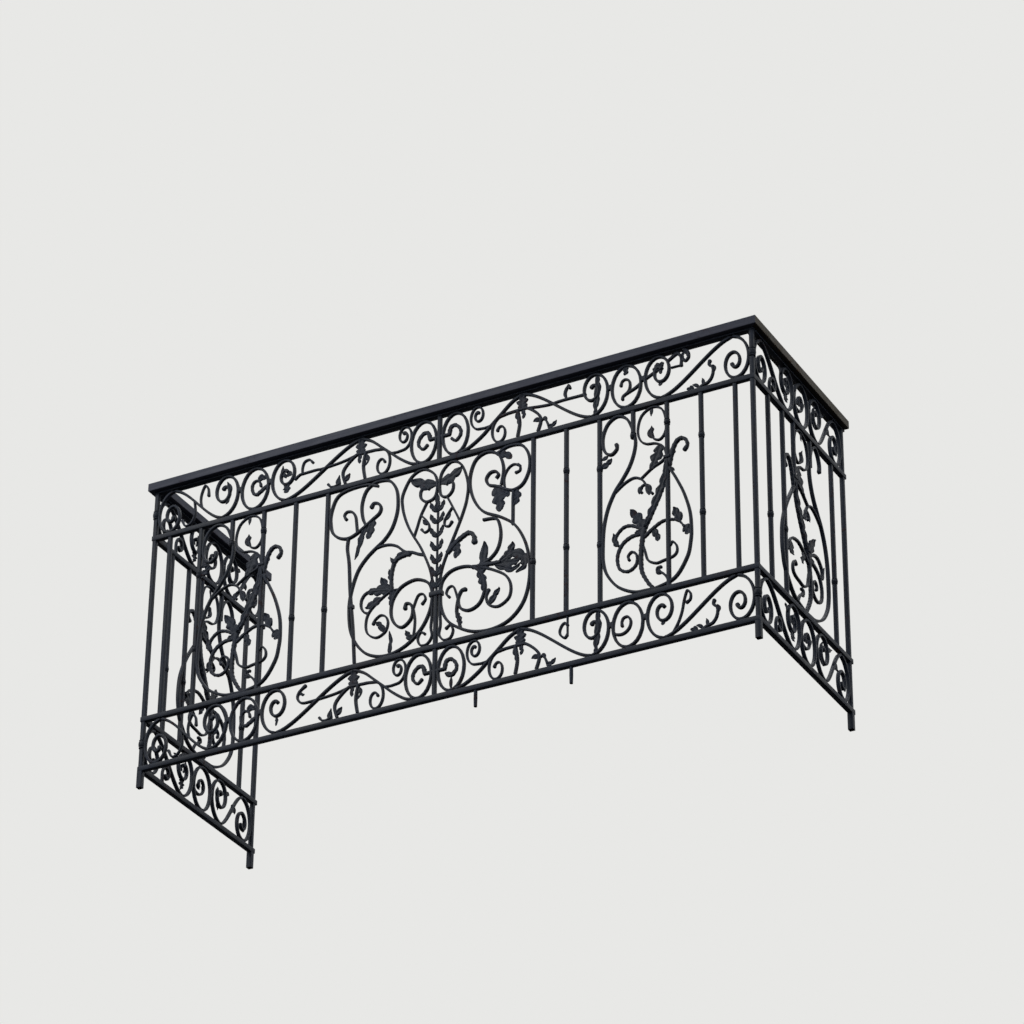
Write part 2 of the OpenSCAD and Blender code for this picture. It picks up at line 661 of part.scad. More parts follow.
module lyre_left() {
    vine([[32, 530], [44, 545], [60, 530], [58, 505], [37, 489], [11, 500], [4, 540], [16, 580], [54, crest],
        [94, 588], [122, 535], [122, 495], [113, 455], [98, 415], [80, 380], [60, 345], [44, 310], [23, 255],
        [13, 205], [12, 165], [13, 100], [16, 60], [12, 30], [28, 8], [50, 10], [59, 32], [50, 52], [36, 44]],
        scroll_t, vine_t);
    // Outer upper scroll, and its inner hook
    vine([[208, 590], [252, crest], [316, 603], [352, 585], [370, 535], [369, 495], [360, 465], [336, 443],
        [306, 435], [276, 445], [246, 463], [221, 480], [202, 493], [196, 510], [204, 527], [221, 533],
        [229, 522]], scroll_t, scroll_t);
    vine([[276, 445], [280, 480], [284, 505], [296, 523], [314, 528], [323, 517], [316, 503]]);
    // Great scroll with its upper circle
    vine([[246, 463], [258, 490], [263, 535], [251, 580], [226, 601], [198, crest], [166, 595], [144, 560],
        [138, 515], [141, 475], [156, 430], [181, 397], [211, 375], [241, 350], [268, 315], [286, 265],
        [295, 215], [295, 165], [288, 115], [269, 70], [236, 30], [196, 9], [156, 4], [116, 13], [76, 36],
        [40, 75], [18, 125], [14, 175], [28, 212], [64, 232], [96, 230], [126, 215], [148, 180], [151, 135],
        [136, 100], [111, 85], [84, 105], [78, 135], [86, 155], [101, 160], [104, 145]], scroll_t, scroll_t);
    // Lower scroll, the branch from the crossing to the arm, and the leaning bar
    vine([[126, 215], [150, 216], [176, 205], [221, 170], [236, 135], [231, 95], [201, 72], [171, 83],
        [161, 110], [168, 133], [186, 143], [204, 133], [211, 120]]);
    vine([[211, 375], [186, 378], [161, 375], [136, 363], [118, 345], [104, 335], [84, 329], [64, 318],
        [44, 310]], 7, 9, snub = false);
    vine([[272, 4], [281, 125], [294, 245], [301, 345], [309, 400], [306, 435]], 8, scroll_t, snub = false);
    // Lighter branches
    vine([[37, 489], [58, 448], [70, 410], [80, 380]], snub = false);
    vine([[58, 448], [42, 430], [30, 410], [30, 392], [44, 386], [54, 398]]);
    vine([[78, 135], [62, 176], [44, 178], [36, 160], [46, 146]]);
    vine([[76, 136], [71, 110], [70, 88], [72, 60], [76, 36]], snub = false);
    vine([[150, 216], [180, 226], [232, 231], [252, 215], [255, 190], [246, 170], [231, 160]], 9, vine_t);
}

module lyre_left_leaves() {
    blade([[4, 540], [38, 548], [66, 560], [96, 580]], 34, 2);
    blade([[104, 335], [130, 336], [158, 322]], 32, 3);
    blade([[150, 214], [154, 246], [157, 286]], 17, 2);
    blade([[162, 212], [178, 240], [192, 270]], 17, 2);
    blade([[150, 216], [190, 226], [236, 231]], 26, 3);
    blade([[188, 200], [210, 190], [238, 178]], 20, 2);
    blade([[156, 4], [150, 40], [153, 82]], 19, 2);
    blade([[76, 36], [90, 50], [98, 68]], 18, 2);
    blade([[246, 463], [262, 420], [279, 352]], 19, 3);
    blade([[221, 480], [230, 446], [236, 410]], 22, 3);
    blade([[171, 83], [186, 108], [200, 122]], 18, 2);
    blade([[30, 410], [40, 418], [50, 430]], 14, 1);
}

module lyre_of(side) {
    color(iron) in_front(scroll_d) translate([middle_x, panel_z]) scale([side, 1])
        in_bay(0, lyre_bar_u(side) + scroll_t / 2, panel_h, [for (v = [mid_knot, high_knot])
            knot_at(lyre_bar_u(side) + scroll_t / 2 + bar / 2, v)])
            if (side == RIGHT) fitted(lyre_bar_u(side) / lyre_ref_right, drop_k) {
                lyre_right();
                lyre_right_leaves();
            }
            else fitted(lyre_bar_u(side) / lyre_ref_left, drop_k) {
                lyre_left();
                lyre_left_leaves();
            }
}

// Middle bar, with the band that holds it and both arms of the lyre together
band_top = 175;
band_h = 15;
band_w = 42;
band_wall = 2.5;
// Slots in the band that both arms of the lyre pass through
slot_w = 13.4;
slot_gap = 0.2;

module middle_bar() {
    top = band_top * drop_k;
    color(iron) {
        for (z = [low_frieze_z, high_frieze_z])
            upright(middle_x, front_y, bar, z, z + frieze_h);
        upright(middle_x, front_y, bar, panel_z, panel_z + top);
        translate([middle_x, front_y, panel_z + top - band_h]) linear_extrude(band_h) difference() {
            square([band_w, bar + 2 * band_wall], center = true);
            for (s = [-1, 1]) translate([s * (bar / 2 + slot_gap + slot_w / 2), 0])
                square([slot_w, scroll_d + 2 * air], center = true);
        }
    }
}

// Leafy stem that grows from the band between the lyre's arms; its leaves lie on the arms' fronts
stem_top = 482;
stem_w = 6;
leaf_plate = 3;

module middle_stem() {
    front = scroll_d / 2 + air + leaf_plate;
    color(iron) translate([middle_x, front_y, panel_z]) rotate([90, 0, 0]) {
        translate([0, 0, -scroll_d / 2]) linear_extrude(scroll_d / 2 + front)
            translate([-stem_w / 2, band_top * drop_k]) square([stem_w, (stem_top - band_top) * drop_k]);
        translate([0, 0, front - leaf_plate]) linear_extrude(leaf_plate) fitted(1, drop_k) {
            for (s = [-1, 1]) for (v = [186, 226, 268, 312, 358, 404, 444])
                blade([[0, v], [s * (6 + v / 45), v + 16], [s * (9 + v / 32), v + 34]], 15, 2);
            blade([[0, 452], [0, 476], [0, 504]], 17, 2);
        }
    }
}

// Feet
module foot_at(side, u) {
    color(iron) upright(side * half_w, front_y + u, foot_w, 0, foot_h);
}

module middle_pins() {
    color(iron) for (x = [122, 430]) translate([x, front_y, 0]) cylinder(d = pin_d, h = foot_h, $fn = 32);
}

handrail(0);  // handrail_front
handrail(LEFT);  // handrail_left
handrail(RIGHT);  // handrail_right
rail_at(0, bed_z, bed_h);  // handrail_bed_front
rail_at(LEFT, bed_z, bed_h);  // handrail_bed_left
rail_at(RIGHT, bed_z, bed_h);  // handrail_bed_right
rail_at(0, upper_rail_z, rail);  // upper_rail_front
rail_at(LEFT, upper_rail_z, rail);  // upper_rail_left
rail_at(RIGHT, upper_rail_z, rail);  // upper_rail_right
rail_at(0, lower_rail_z, rail);  // lower_rail_front
rail_at(LEFT, lower_rail_z, rail);  // lower_rail_left
rail_at(RIGHT, lower_rail_z, rail);  // lower_rail_right
rail_at(0, bottom_rail_z, rail);  // bottom_rail_front
rail_at(LEFT, bottom_rail_z, rail);  // bottom_rail_left
rail_at(RIGHT, bottom_rail_z, rail);  // bottom_rail_right
post_at(-half_w, front_y, true);  // corner_post_left
post_at(half_w, front_y, true);  // corner_post_right
post_at(-half_w, front_y + side_d, false);  // wall_post_left
post_at(half_w, front_y + side_d, false);  // wall_post_right
bars_front(LEFT);  // bars_front_left
bars_front(RIGHT);  // bars_front_right
bars_side(LEFT);  // bars_side_left
bars_side(RIGHT);  // bars_side_right
frieze_front(LEFT, high_frieze_z);  // frieze_top_front_left
frieze_front(RIGHT, high_frieze_z);  // frieze_top_front_right
frieze_front(LEFT, low_frieze_z);  // frieze_bottom_front_left
frieze_front(RIGHT, low_frieze_z);  // frieze_bottom_front_right
frieze_of_side(LEFT, high_frieze_z);  // frieze_top_side_left
frieze_of_side(RIGHT, high_frieze_z);  // frieze_top_side_right
frieze_of_side(LEFT, low_frieze_z);  // frieze_bottom_side_left
frieze_of_side(RIGHT, low_frieze_z);  // frieze_bottom_side_right
lyre_of(LEFT);  // lyre_left
lyre_of(RIGHT);  // lyre_right
middle_bar();
middle_stem();
teardrop_front(LEFT);  // teardrop_front_left
teardrop_front(RIGHT);  // teardrop_front_right
teardrop_side(LEFT);  // teardrop_side_left
teardrop_side(RIGHT);  // teardrop_side_right
foot_at(LEFT, 0);  // corner_foot_left
foot_at(RIGHT, 0);  // corner_foot_right
foot_at(LEFT, side_d);  // wall_foot_left
foot_at(RIGHT, side_d);  // wall_foot_right
middle_pins();
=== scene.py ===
"""Wrought iron balcony railing: forged scrollwork, square bars and a plain handrail in old dark paint."""

import math

import bmesh
import bpy
import numpy as np
from mathutils import Matrix, Vector


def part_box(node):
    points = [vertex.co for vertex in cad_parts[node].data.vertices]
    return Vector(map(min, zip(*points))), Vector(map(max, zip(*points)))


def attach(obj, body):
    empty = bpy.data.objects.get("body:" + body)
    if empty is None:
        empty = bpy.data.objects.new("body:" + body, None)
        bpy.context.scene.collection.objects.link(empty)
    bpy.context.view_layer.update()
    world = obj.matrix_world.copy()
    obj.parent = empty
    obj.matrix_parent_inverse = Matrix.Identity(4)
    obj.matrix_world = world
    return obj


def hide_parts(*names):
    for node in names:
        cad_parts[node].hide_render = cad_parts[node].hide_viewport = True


bl_info = {
    "name": "Wrought iron balcony railing",
    "version": (1, 0, 0),
    "blender": (4, 5, 0),
    "location": "View3D > Sidebar > Railing",
    "description": "Forges the scrollwork, bars, rails and handrail of a balcony railing",
    "category": "Object",
}

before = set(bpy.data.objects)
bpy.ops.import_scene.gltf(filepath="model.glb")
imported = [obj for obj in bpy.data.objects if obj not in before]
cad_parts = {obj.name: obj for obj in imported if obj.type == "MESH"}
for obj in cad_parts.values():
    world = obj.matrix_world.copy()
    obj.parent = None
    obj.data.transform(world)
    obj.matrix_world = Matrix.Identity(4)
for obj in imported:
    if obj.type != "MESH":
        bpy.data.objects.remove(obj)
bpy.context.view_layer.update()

LEFT, RIGHT = -1, 1
SIDES = {"left": LEFT, "right": RIGHT}


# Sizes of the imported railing, in millimetres
def reach(node, axis):
    """Lowest and highest place of a node along an axis, in millimetres."""
    low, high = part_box(node)
    return low[axis] * 1000, high[axis] * 1000


def middle(node, axis):
    """Middle of a node along an axis."""
    return sum(reach(node, axis)) / 2


def breadth(node):
    """Width of a node across the front."""
    low, high = reach(node, 0)
    return high - low


# Posts: half the front between them, the front's own plane, and the sides from there to post and wall
HALF_W, FRONT_Y = middle("corner_post_right", 0), middle("corner_post_right", 1)
SIDE_D = middle("wall_post_right", 1) - FRONT_Y
WALL_Y = reach("bottom_rail_right", 1)[1] - FRONT_Y
POST, FOOT_W = breadth("wall_post_right"), breadth("corner_foot_right")
MIDDLE_X = middle("middle_stem", 0)
# Heights of the rails from the feet up, each one's lower face and upper face
FOOT_H, BOTTOM_TOP = reach("bottom_rail_front", 2)
LOWER_Z, PANEL_Z = reach("lower_rail_front", 2)
UPPER_Z, HIGH_Z = reach("upper_rail_front", 2)
BED_Z, HAND_Z = reach("handrail_bed_front", 2)
RAIL = BOTTOM_TOP - FOOT_H
HAND_H = reach("handrail_front", 2)[1] - HAND_Z
HAND_W = 2 * (reach("handrail_right", 0)[1] - HALF_W)
# Clear heights of a frieze and of the panel between the friezes
FRIEZE_H, PANEL_H = LOWER_Z - BOTTOM_TOP, UPPER_Z - PANEL_Z

# Iron sections, in millimetres: bars are square, and a D is the depth of flatter iron through its bay
BAR, SCROLL, SCROLL_D, VINE, VINE_D = 12, 8, 11.5, 6, 9.5
# Widths and heights of the turned bosses and collars
BOSS, COLLAR = (24, 28), (19.5, 18)

# Setting out: from a corner post to the first bar and from bar to bar, the bars of a side from its corner
# post, and the round pins under the middle
FIRST_BAR, PITCH = 56, {RIGHT: 109, LEFT: 112.5}
SIDE_BARS = (99, 196, SIDE_D - 84)
PIN_X, PIN_D = (122, 430), 11

# Heights that the ornaments' points are drawn in, and what brings them to the real bays
FRIEZE_REF, PANEL_REF = 150, 609
FRIEZE_K, PANEL_K = FRIEZE_H / FRIEZE_REF, PANEL_H / PANEL_REF
# Middle lines of strokes that lie against the upper rail of the panel, and against a frieze's two rails
CREST, LO, HI = PANEL_REF - SCROLL / 2, SCROLL / 2, FRIEZE_H - SCROLL / 2


def bar_x(side, i):
    """Place of a bar of the front, counted from the corner post of its side."""
    return side * (HALF_W - FIRST_BAR - i * PITCH[side])


# Shader and geometry trees
class Wire:
    """A socket of a node tree that can stand in a sum."""

    def __init__(self, bench, socket):
        self.bench, self.socket = bench, socket

    def sum(self, operation, *others):
        """One step of arithmetic as a node."""
        return self.bench.add("ShaderNodeMath", {"operation": operation}, dict(enumerate(others)))

    def __add__(self, other):
        return self.sum("ADD", self, other)

    def __radd__(self, other):
        return self.sum("ADD", other, self)

    def __sub__(self, other):
        return self.sum("SUBTRACT", self, other)

    def __rsub__(self, other):
        return self.sum("SUBTRACT", other, self)

    def __mul__(self, other):
        return self.sum("MULTIPLY", self, other)

    def __rmul__(self, other):
        return self.sum("MULTIPLY", other, self)

    def kept(self):
        """The value held between 0 and 1."""
        return self.bench.add("ShaderNodeClamp", {}, {0: self})

    def over(self, low, high):
        """0 below low, 1 above high, and a soft rise between."""
        settings = {"interpolation_type": "SMOOTHSTEP"}
        return self.bench.add("ShaderNodeMapRange", settings, {0: self, 1: low, 2: high})


class Bench:
    """Adds nodes to a tree."""

    def __init__(self, tree):
        self.tree = tree

    def add(self, kind, settings=None, values=None, out=0):
        """A node of a kind: its settings first, then the values or links of its sockets."""
        node = self.tree.nodes.new(kind)
        for key, value in (settings or {}).items():
            setattr(node, key, value)
        for key, value in (values or {}).items():
            if isinstance(value, Wire):
                self.tree.links.new(value.socket, node.inputs[key])
            else:
                node.inputs[key].default_value = value
        return Wire(self, node.outputs[out])

    def finish(self, kind, made):
        """Links a wire to the tree's last node."""
        self.tree.links.new(made.socket, self.tree.nodes.new(kind).inputs[0])

    def blend(self, share, a, b):
        """Colour a where share is 0 and b where it is 1."""
        a, b = [v if isinstance(v, Wire) else (*v, 1) for v in (a, b)]
        return self.add("ShaderNodeMix", {"data_type": "RGBA"}, {0: share, 6: a, 7: b}, 2)

    def vector(self, operation, values):
        """Arithmetic on colours or places."""
        return self.add("ShaderNodeVectorMath", {"operation": operation}, values)

    def group(self, inputs, output):
        """Names the inputs and the output of a geometry tree; gives a wire from each input."""
        for name, kind in inputs.items():
            self.tree.interface.new_socket(name, in_out="INPUT", socket_type="NodeSocket" + kind)
        self.tree.interface.new_socket(output, in_out="OUTPUT", socket_type="NodeSocketGeometry")
        given = self.add("NodeGroupInput").socket.node.outputs
        return [Wire(self, given[name]) for name in inputs]

    def paint(self, made, paint):
        """Ends a geometry tree: instances become real, and the paint goes on."""
        made = self.add("GeometryNodeRealizeInstances", {}, {"Geometry": made})
        made = self.add("GeometryNodeSetMaterial", {}, {"Geometry": made, "Material": paint})
        self.finish("NodeGroupOutput", made)


def bare(owner):
    """A bench for the emptied node tree of a material or a world."""
    owner.use_nodes = True
    owner.node_tree.nodes.clear()
    return Bench(owner.node_tree)


def tone(r, g, b):
    """A colour as it is seen on a screen, from 0 to 255, as the light it stands for."""
    shares = [v / 255 for v in (r, g, b)]
    return tuple(v / 12.92 if v < 0.0404 else ((v + 0.055) / 1.055) ** 2.4 for v in shares)


def old_paint(name, colour, chalk, dust=0.5, rust=0.35, hammer=0.5, brush_and_painted_light=0.0):
    """Satin paint on forged iron: chalky patches, brushwork, dust, worn corners, a little rust, and painted
    shade.
    """
    made = bpy.data.materials.new(name)
    b = bare(made)
    place = b.add("ShaderNodeTexCoord", {}, {}, "Object")
    facing = b.add("ShaderNodeSeparateXYZ", {}, {0: b.add("ShaderNodeTexCoord", {}, {}, "Normal")}, "Z")

    def cloud(scale, detail=3.0, rough=0.55, where=place):
        sizes = {"Vector": where, "Scale": scale, "Detail": detail, "Roughness": rough}
        return b.add("ShaderNodeTexNoise", {}, sizes)

    # Noise from broad drifts to fine grain, and the corners of the iron
    drift, patch = cloud(3.1), cloud(17.0, 4.0, 0.6)
    speck, grain = cloud(70.0, 4.0, 0.65), cloud(310.0, 2.0)
    corner = b.add("ShaderNodeAttribute", {"attribute_name": "edge"}, {}, "Fac")
    faded = (patch * 0.6 + drift * 0.5 + speck * 0.25).over(0.5, 0.85)
    paint = b.blend(faded * 0.75, colour, chalk)
    if brush_and_painted_light:
        # Marks drawn out along the rail, and painted light: the handrail's face is painted paler towards
        # its bottom
        flat = b.vector("MULTIPLY", {0: place, 1: (0.05, 0.05, 1.0)})
        height = b.add("ShaderNodeSeparateXYZ", {}, {0: place}, "Z")
        painted_light_towards_bottom = 1.0 - height.over((HAND_Z + 4) / 1000, (HAND_Z + HAND_H - 5) / 1000)
        marks_and_painted_light = cloud(120.0, 2.0, 0.5, flat).over(0.42, 0.6) * 0.55 + painted_light_towards_bottom * 0.55 + speck * 0.2
        paint = b.blend((marks_and_painted_light * brush_and_painted_light).kept(), paint, chalk)
    # Thin paint on corners lets a lighter, greyer line through
    worn = (corner * (0.35 + speck)).over(0.45, 1.0)
    paint = b.blend(worn * 0.45, paint, [min(1, 1.9 * v + 0.02) for v in chalk])
    # Dust on what faces up, and painted shade on what faces down
    settled = (facing.over(0.25, 0.95) * (0.35 + patch * 0.9)).kept()
    paint = b.blend(settled * dust, paint, tone(104, 104, 104))
    # Painted shade: what faces down is darkened towards near black, in patches
    painted_underside_shade = (0 - facing).over(0.35, 1.0) * (0.55 + 0.45 * patch)
    paint = b.blend(painted_underside_shade * 0.7, paint, tone(16, 17, 21))
    # Rust in small spots, with a faint brown bleed round them
    bloom = (speck * 0.6 + cloud(8.5, 5.0, 0.7) * 0.7 + corner * 0.06).over(0.74, 0.86)
    bleed = (cloud(5.0, 5.0, 0.65) + speck * 0.2).over(0.62, 0.85)
    brown = b.blend(speck.over(0.35, 0.7), tone(70, 49, 36), tone(112, 74, 46))
    paint = b.blend((bleed * 0.35 * rust + bloom * rust).kept(), paint, brown)
    # Chalk, dust and rust are rougher than the satin paint; the hammer left shallow dents
    gloss = 0.42 + faded * 0.14 + settled * 0.22 + bloom * 0.3 + (grain - 0.5) * 0.12
    beaten = cloud(58.0, 1.5, 0.4) * 0.7 + grain * 0.12 + bloom * speck * 0.35
    relief = b.add("ShaderNodeBump", {}, {"Strength": hammer, "Distance": 0.0011, "Height": beaten})
    looks = {"Base Color": paint, "Roughness": gloss.kept(), "Normal": relief, "Specular IOR Level": 0.18}
    b.finish("ShaderNodeOutputMaterial", b.add("ShaderNodeBsdfPrincipled", {}, looks))


def paints():
    """The railing's paints, made once."""
    if "forged_iron_paint" not in bpy.data.materials:
        colours = bpy.context.scene.railing_colours
        old_paint("forged_iron_paint", colours.paint, colours.chalk)
        old_paint("leaf_paint", colours.leaf, tone(70, 72, 78), 0.4, 0.25, 0.35)
        old_paint("handrail_paint", colours.handrail, tone(84, 87, 102), 0.5, 0.2, 0.2, 0.8)
        old_paint("side_handrail_paint", colours.side_handrail, tone(76, 68, 52), 0.5, 0.5, 0.3, 0.7)
    return bpy.data.materials


# Geometry of curves, in millimetres across and up
def unit(v):
    """The same way, one long."""
    return v / max(np.linalg.norm(v), 1e-9)


def smooth(points):
    """A smooth curve through a few points, in sixteen steps from one to the next."""
    p = np.array(points, float)
    last = len(p) - 1
    made = []
    for i in range(last):
        a, b, c, d = p[max(i - 1, 0)], p[i], p[i + 1], p[min(i + 2, last)]
        bow = a - 2.5 * b + 2 * c - d / 2
        twist = 1.5 * (b - c) + (d - a) / 2
        made += [b + t / 2 * (c - a) + t * t * bow + t**3 * twist for t in np.arange(16) / 16]
    return np.array(made + [p[last]])


# A scroll is drawn in faster past this turn, in degrees, which hooks its end
HOOK_FROM, HOOK_PULL = 450, 0.5
# How long a link between two scrolls keeps the way of its ends
LINK_PULL = 0.24


def roll(u, v0, v1, hand, turns, tight, slim, count=None):
    """A scroll that starts level at v0, reaches v1 and tightens as it turns; slim narrows it across."""
    turned = np.linspace(0, turns * 360, count or int(turns * 72))
    lean = math.atan(-math.log(tight) / (2 * math.pi))
    ry = abs(v1 - v0) / (1 + math.sqrt(tight))
    up = 1 if v1 > v0 else -1
    drawn = HOOK_PULL * (np.clip(turned - HOOK_FROM, 0, None) / 180) ** 2
    turned = np.radians(turned)
    r = ry / math.cos(lean) * tight ** (turned / (2 * math.pi)) * (1 - drawn)
    across = u + hand * slim * r * np.sin(turned - lean)
    return np.stack([across, v0 + up * ry - up * r * np.cos(turned - lean)], -1)


def roll_reach(v0, v1, tight, slim):
    """How far such a scroll reaches across from its start."""
    return slim * abs(v1 - v0) / (1 + math.sqrt(tight)) * tight**0.25


def link(p, a, q, b, shares=np.linspace(0, 1, 60)[1:-1]):
    """A smooth link that leaves p towards a and reaches q along b, as points at some shares of its way."""
    p, a, q, b = [np.array(v, float) for v in (p, a, q, b)]
    h = LINK_PULL * np.linalg.norm(q - p)
    t = np.array(shares)[:, None]
    s = 1 - t
    return s**3 * p + 3 * s * s * t * (p + h * a) + 3 * s * t * t * (q - h * b) + t**3 * q


# Spacing of the points kept along a stroke, in millimetres, and its bend between them, in degrees
LONGEST_STEP, SHORTEST_STEP, SHARPEST_BEND = 9, 0.6, 11


def thinned(path, thick, deep, closed):
    """Leaves out points where a path runs straight."""
    keep, run, bend = [0], 0.0, 0.0
    for i in range(1, len(path) - 1):
        step = path[i] - path[i - 1]
        after = path[i + 1] - path[i]
        run += np.linalg.norm(step)
        bend += math.degrees(math.acos(np.clip(unit(step) @ unit(after), -1, 1)))
        if run > LONGEST_STEP or (bend > SHARPEST_BEND and run > SHORTEST_STEP):
            keep.append(i)
            run, bend = 0.0, 0.0
    if not closed:
        keep.append(len(path) - 1)
    return path[keep], thick[keep], deep[keep]


def budded(path, thick, deep):
    """Swells a bar towards its last point and rounds it off there."""
    t = thick[-1]
    lengths = np.linalg.norm(np.diff(path, axis=0), axis=1)
    left = np.append(np.cumsum(lengths[::-1])[::-1], 0)
    near = np.clip(1 - left / (1.7 * t), 0, 1)
    thick = thick * (1 + 0.5 * near * near * (3 - 2 * near))
    turn = np.radians([28, 52, 72, 86])
    tip = path[-1] + unit(path[-1] - path[-2]) * (0.75 * t * np.sin(turn))[:, None]
    return (
        np.concatenate([path, tip]),
        np.append(thick, 1.5 * t * np.cos(turn)),
        np.append(deep, deep[-1] * np.cos(turn) ** 0.7),
    )


# Stems from this thickness on are sheathed in small overlapping leaves, each this long
SHEATHED, SHEATH = 10, 15


class Pen:
    """Draws one piece's strokes across and up its bay, in millimetres."""

    def __init__(self, across=1.0, up=1.0):
        self.across, self.up, self.shift, self.flip = across, up, 0.0, 1
        self.rods, self.leaves = [], []

    def moved(self, shift, flip=1):
        """The same drawing with its middle moved across, or turned over."""
        other = Pen(self.across, self.up)
        other.shift, other.flip = self.shift + self.flip * shift, self.flip * flip
        other.rods, other.leaves = self.rods, self.leaves
        return other

    def at(self, points):
        """Points of a drawing as millimetres in the bay."""
        return [(u * self.across, v * self.up) for u, v in points]

    def placed(self, path):
        """A path where the pen now stands in the bay."""
        return path * (self.flip, 1) + (self.shift, 0)

    def rod(self, path, t0, t1=None, bud_a=False, bud_b=True, deep=SCROLL_D, closed=False):
        """A bar along a path; a bud is a drawn-out and snubbed end."""
        path = np.array(path, float)
        thick = np.linspace(t0, t0 if t1 is None else t1, len(path))
        # Strokes that cross differ a hair in depth, so their faces never lie in one plane
        depth = np.full(len(path), deep - 0.07 * (len(self.rods) % 5))
        if t0 >= SHEATHED and deep < BAR:
            run = np.append(0, np.cumsum(np.linalg.norm(np.diff(path, axis=0), axis=1)))
            thick *= 0.88 + 0.3 * ((run / SHEATH) % 1) ** 2
        else:
            path, thick, depth = thinned(path, thick, depth, closed)
        if bud_b:
            path, thick, depth = budded(path, thick, depth)
        if bud_a:
            path, thick, depth = [v[::-1] for v in budded(path[::-1], thick[::-1], depth[::-1])]
        self.rods.append((self.placed(path), thick, depth, closed))

    def vine(self, points, t0=VINE, t1=VINE, start=(), snub=True):
        """A lighter bar through a few points of the drawing; start holds points that are placed already."""
        path = smooth(list(start) + self.at(points))
        self.rod(path, t0, t1, False, snub, SCROLL_D if t0 >= SCROLL and t1 >= SCROLL else VINE_D)

    def ring(self, u, v, ru, rv):
        """An oval ring round a point."""
        turn = np.radians(np.arange(0, 360, 7.5))
        oval = np.stack([u + ru * np.cos(turn), v + rv * np.sin(turn)], -1)
        self.rod(oval, SCROLL, closed=True, bud_b=False)

    def bar(self, a, b, steps, width, deep=BAR):
        """A straight bar."""
        self.rod(np.linspace(a, b, steps + 1), width, bud_b=False, deep=deep)

    def tie(self, u, v, w, h, deep=11.0):
        """A short block that wraps two bars."""
        self.bar((u - w / 2, v), (u + w / 2, v), 2, h, deep)

    def blade(self, points, width, lobes=2, lift=0.0):
        """A leaf along a few points of the drawing."""
        self.leaves.append((self.placed(smooth(self.at(points))), width, lobes, lift))


# Ornaments
# Heights of the collars on each free bar of the front, counted from its corner
MID_KNOT, HIGH_KNOT = 212, 468
KNOTS = {
    RIGHT: {0: (), 1: (MID_KNOT, HIGH_KNOT), 4: (190, 443), 5: (MID_KNOT, HIGH_KNOT), 6: (192,)},
    LEFT: {0: (), 1: (190, 443), 4: (MID_KNOT,), 5: (MID_KNOT,)},
}

# A teardrop is drawn from the bar it touches to its through bar at DROP_REF, and bulges beyond that
DROP_REF, FRONT_BULGE, SIDE_BULGE = 222, 296, 316
# The front bar that each front teardrop touches, and the far edge and width of those in the sides
DROP_BAR, SIDE_DROP_FAR, SIDE_DROP_K = {RIGHT: 4, LEFT: 1}, 502, 1.04
# Foot of the short bar over its shoulder and of a side's through bar, and the collars on both bars
SHORT_BAR, SIDE_BAR_LOW = (111, 520), 400
DROP_COLLARS = [(DROP_REF, 542), (111, 526)]
FRONT_HEAD = [
    (56, 510), (56, 494), (39, 481), (20, 492), (11, 520), (13, 556), (30, 590), (60, CREST), (89, 590),
    (106, 556), (118, 512),
]
SIDE_HEAD = [(48, 538), (46, 560), (56, 588), (76, CREST), (97, 590), (110, 556), (118, 512)]
BODY = [
    (114, 470), (98, 425), (73, 385), (48, 350), (26, 300), (13, 240), (9.5, 165), (12, 124), (24, 84),
    (58, 38), (108, 9), (148, SCROLL / 2), (190, 5), (244, 24), (282, 80), (293, 126), (296, 165),
    (292, 225), (274, 290), (250, 345), (230, 385), (222, 420),
]

# Width that each half of the lyre is drawn in
LYRE_REF = {RIGHT: 311, LEFT: 372.5}
# The leafy stem in the middle starts at this height, and the band under it has this size
STEM_LOW, BAND_W, BAND_H = 175, 42, 15


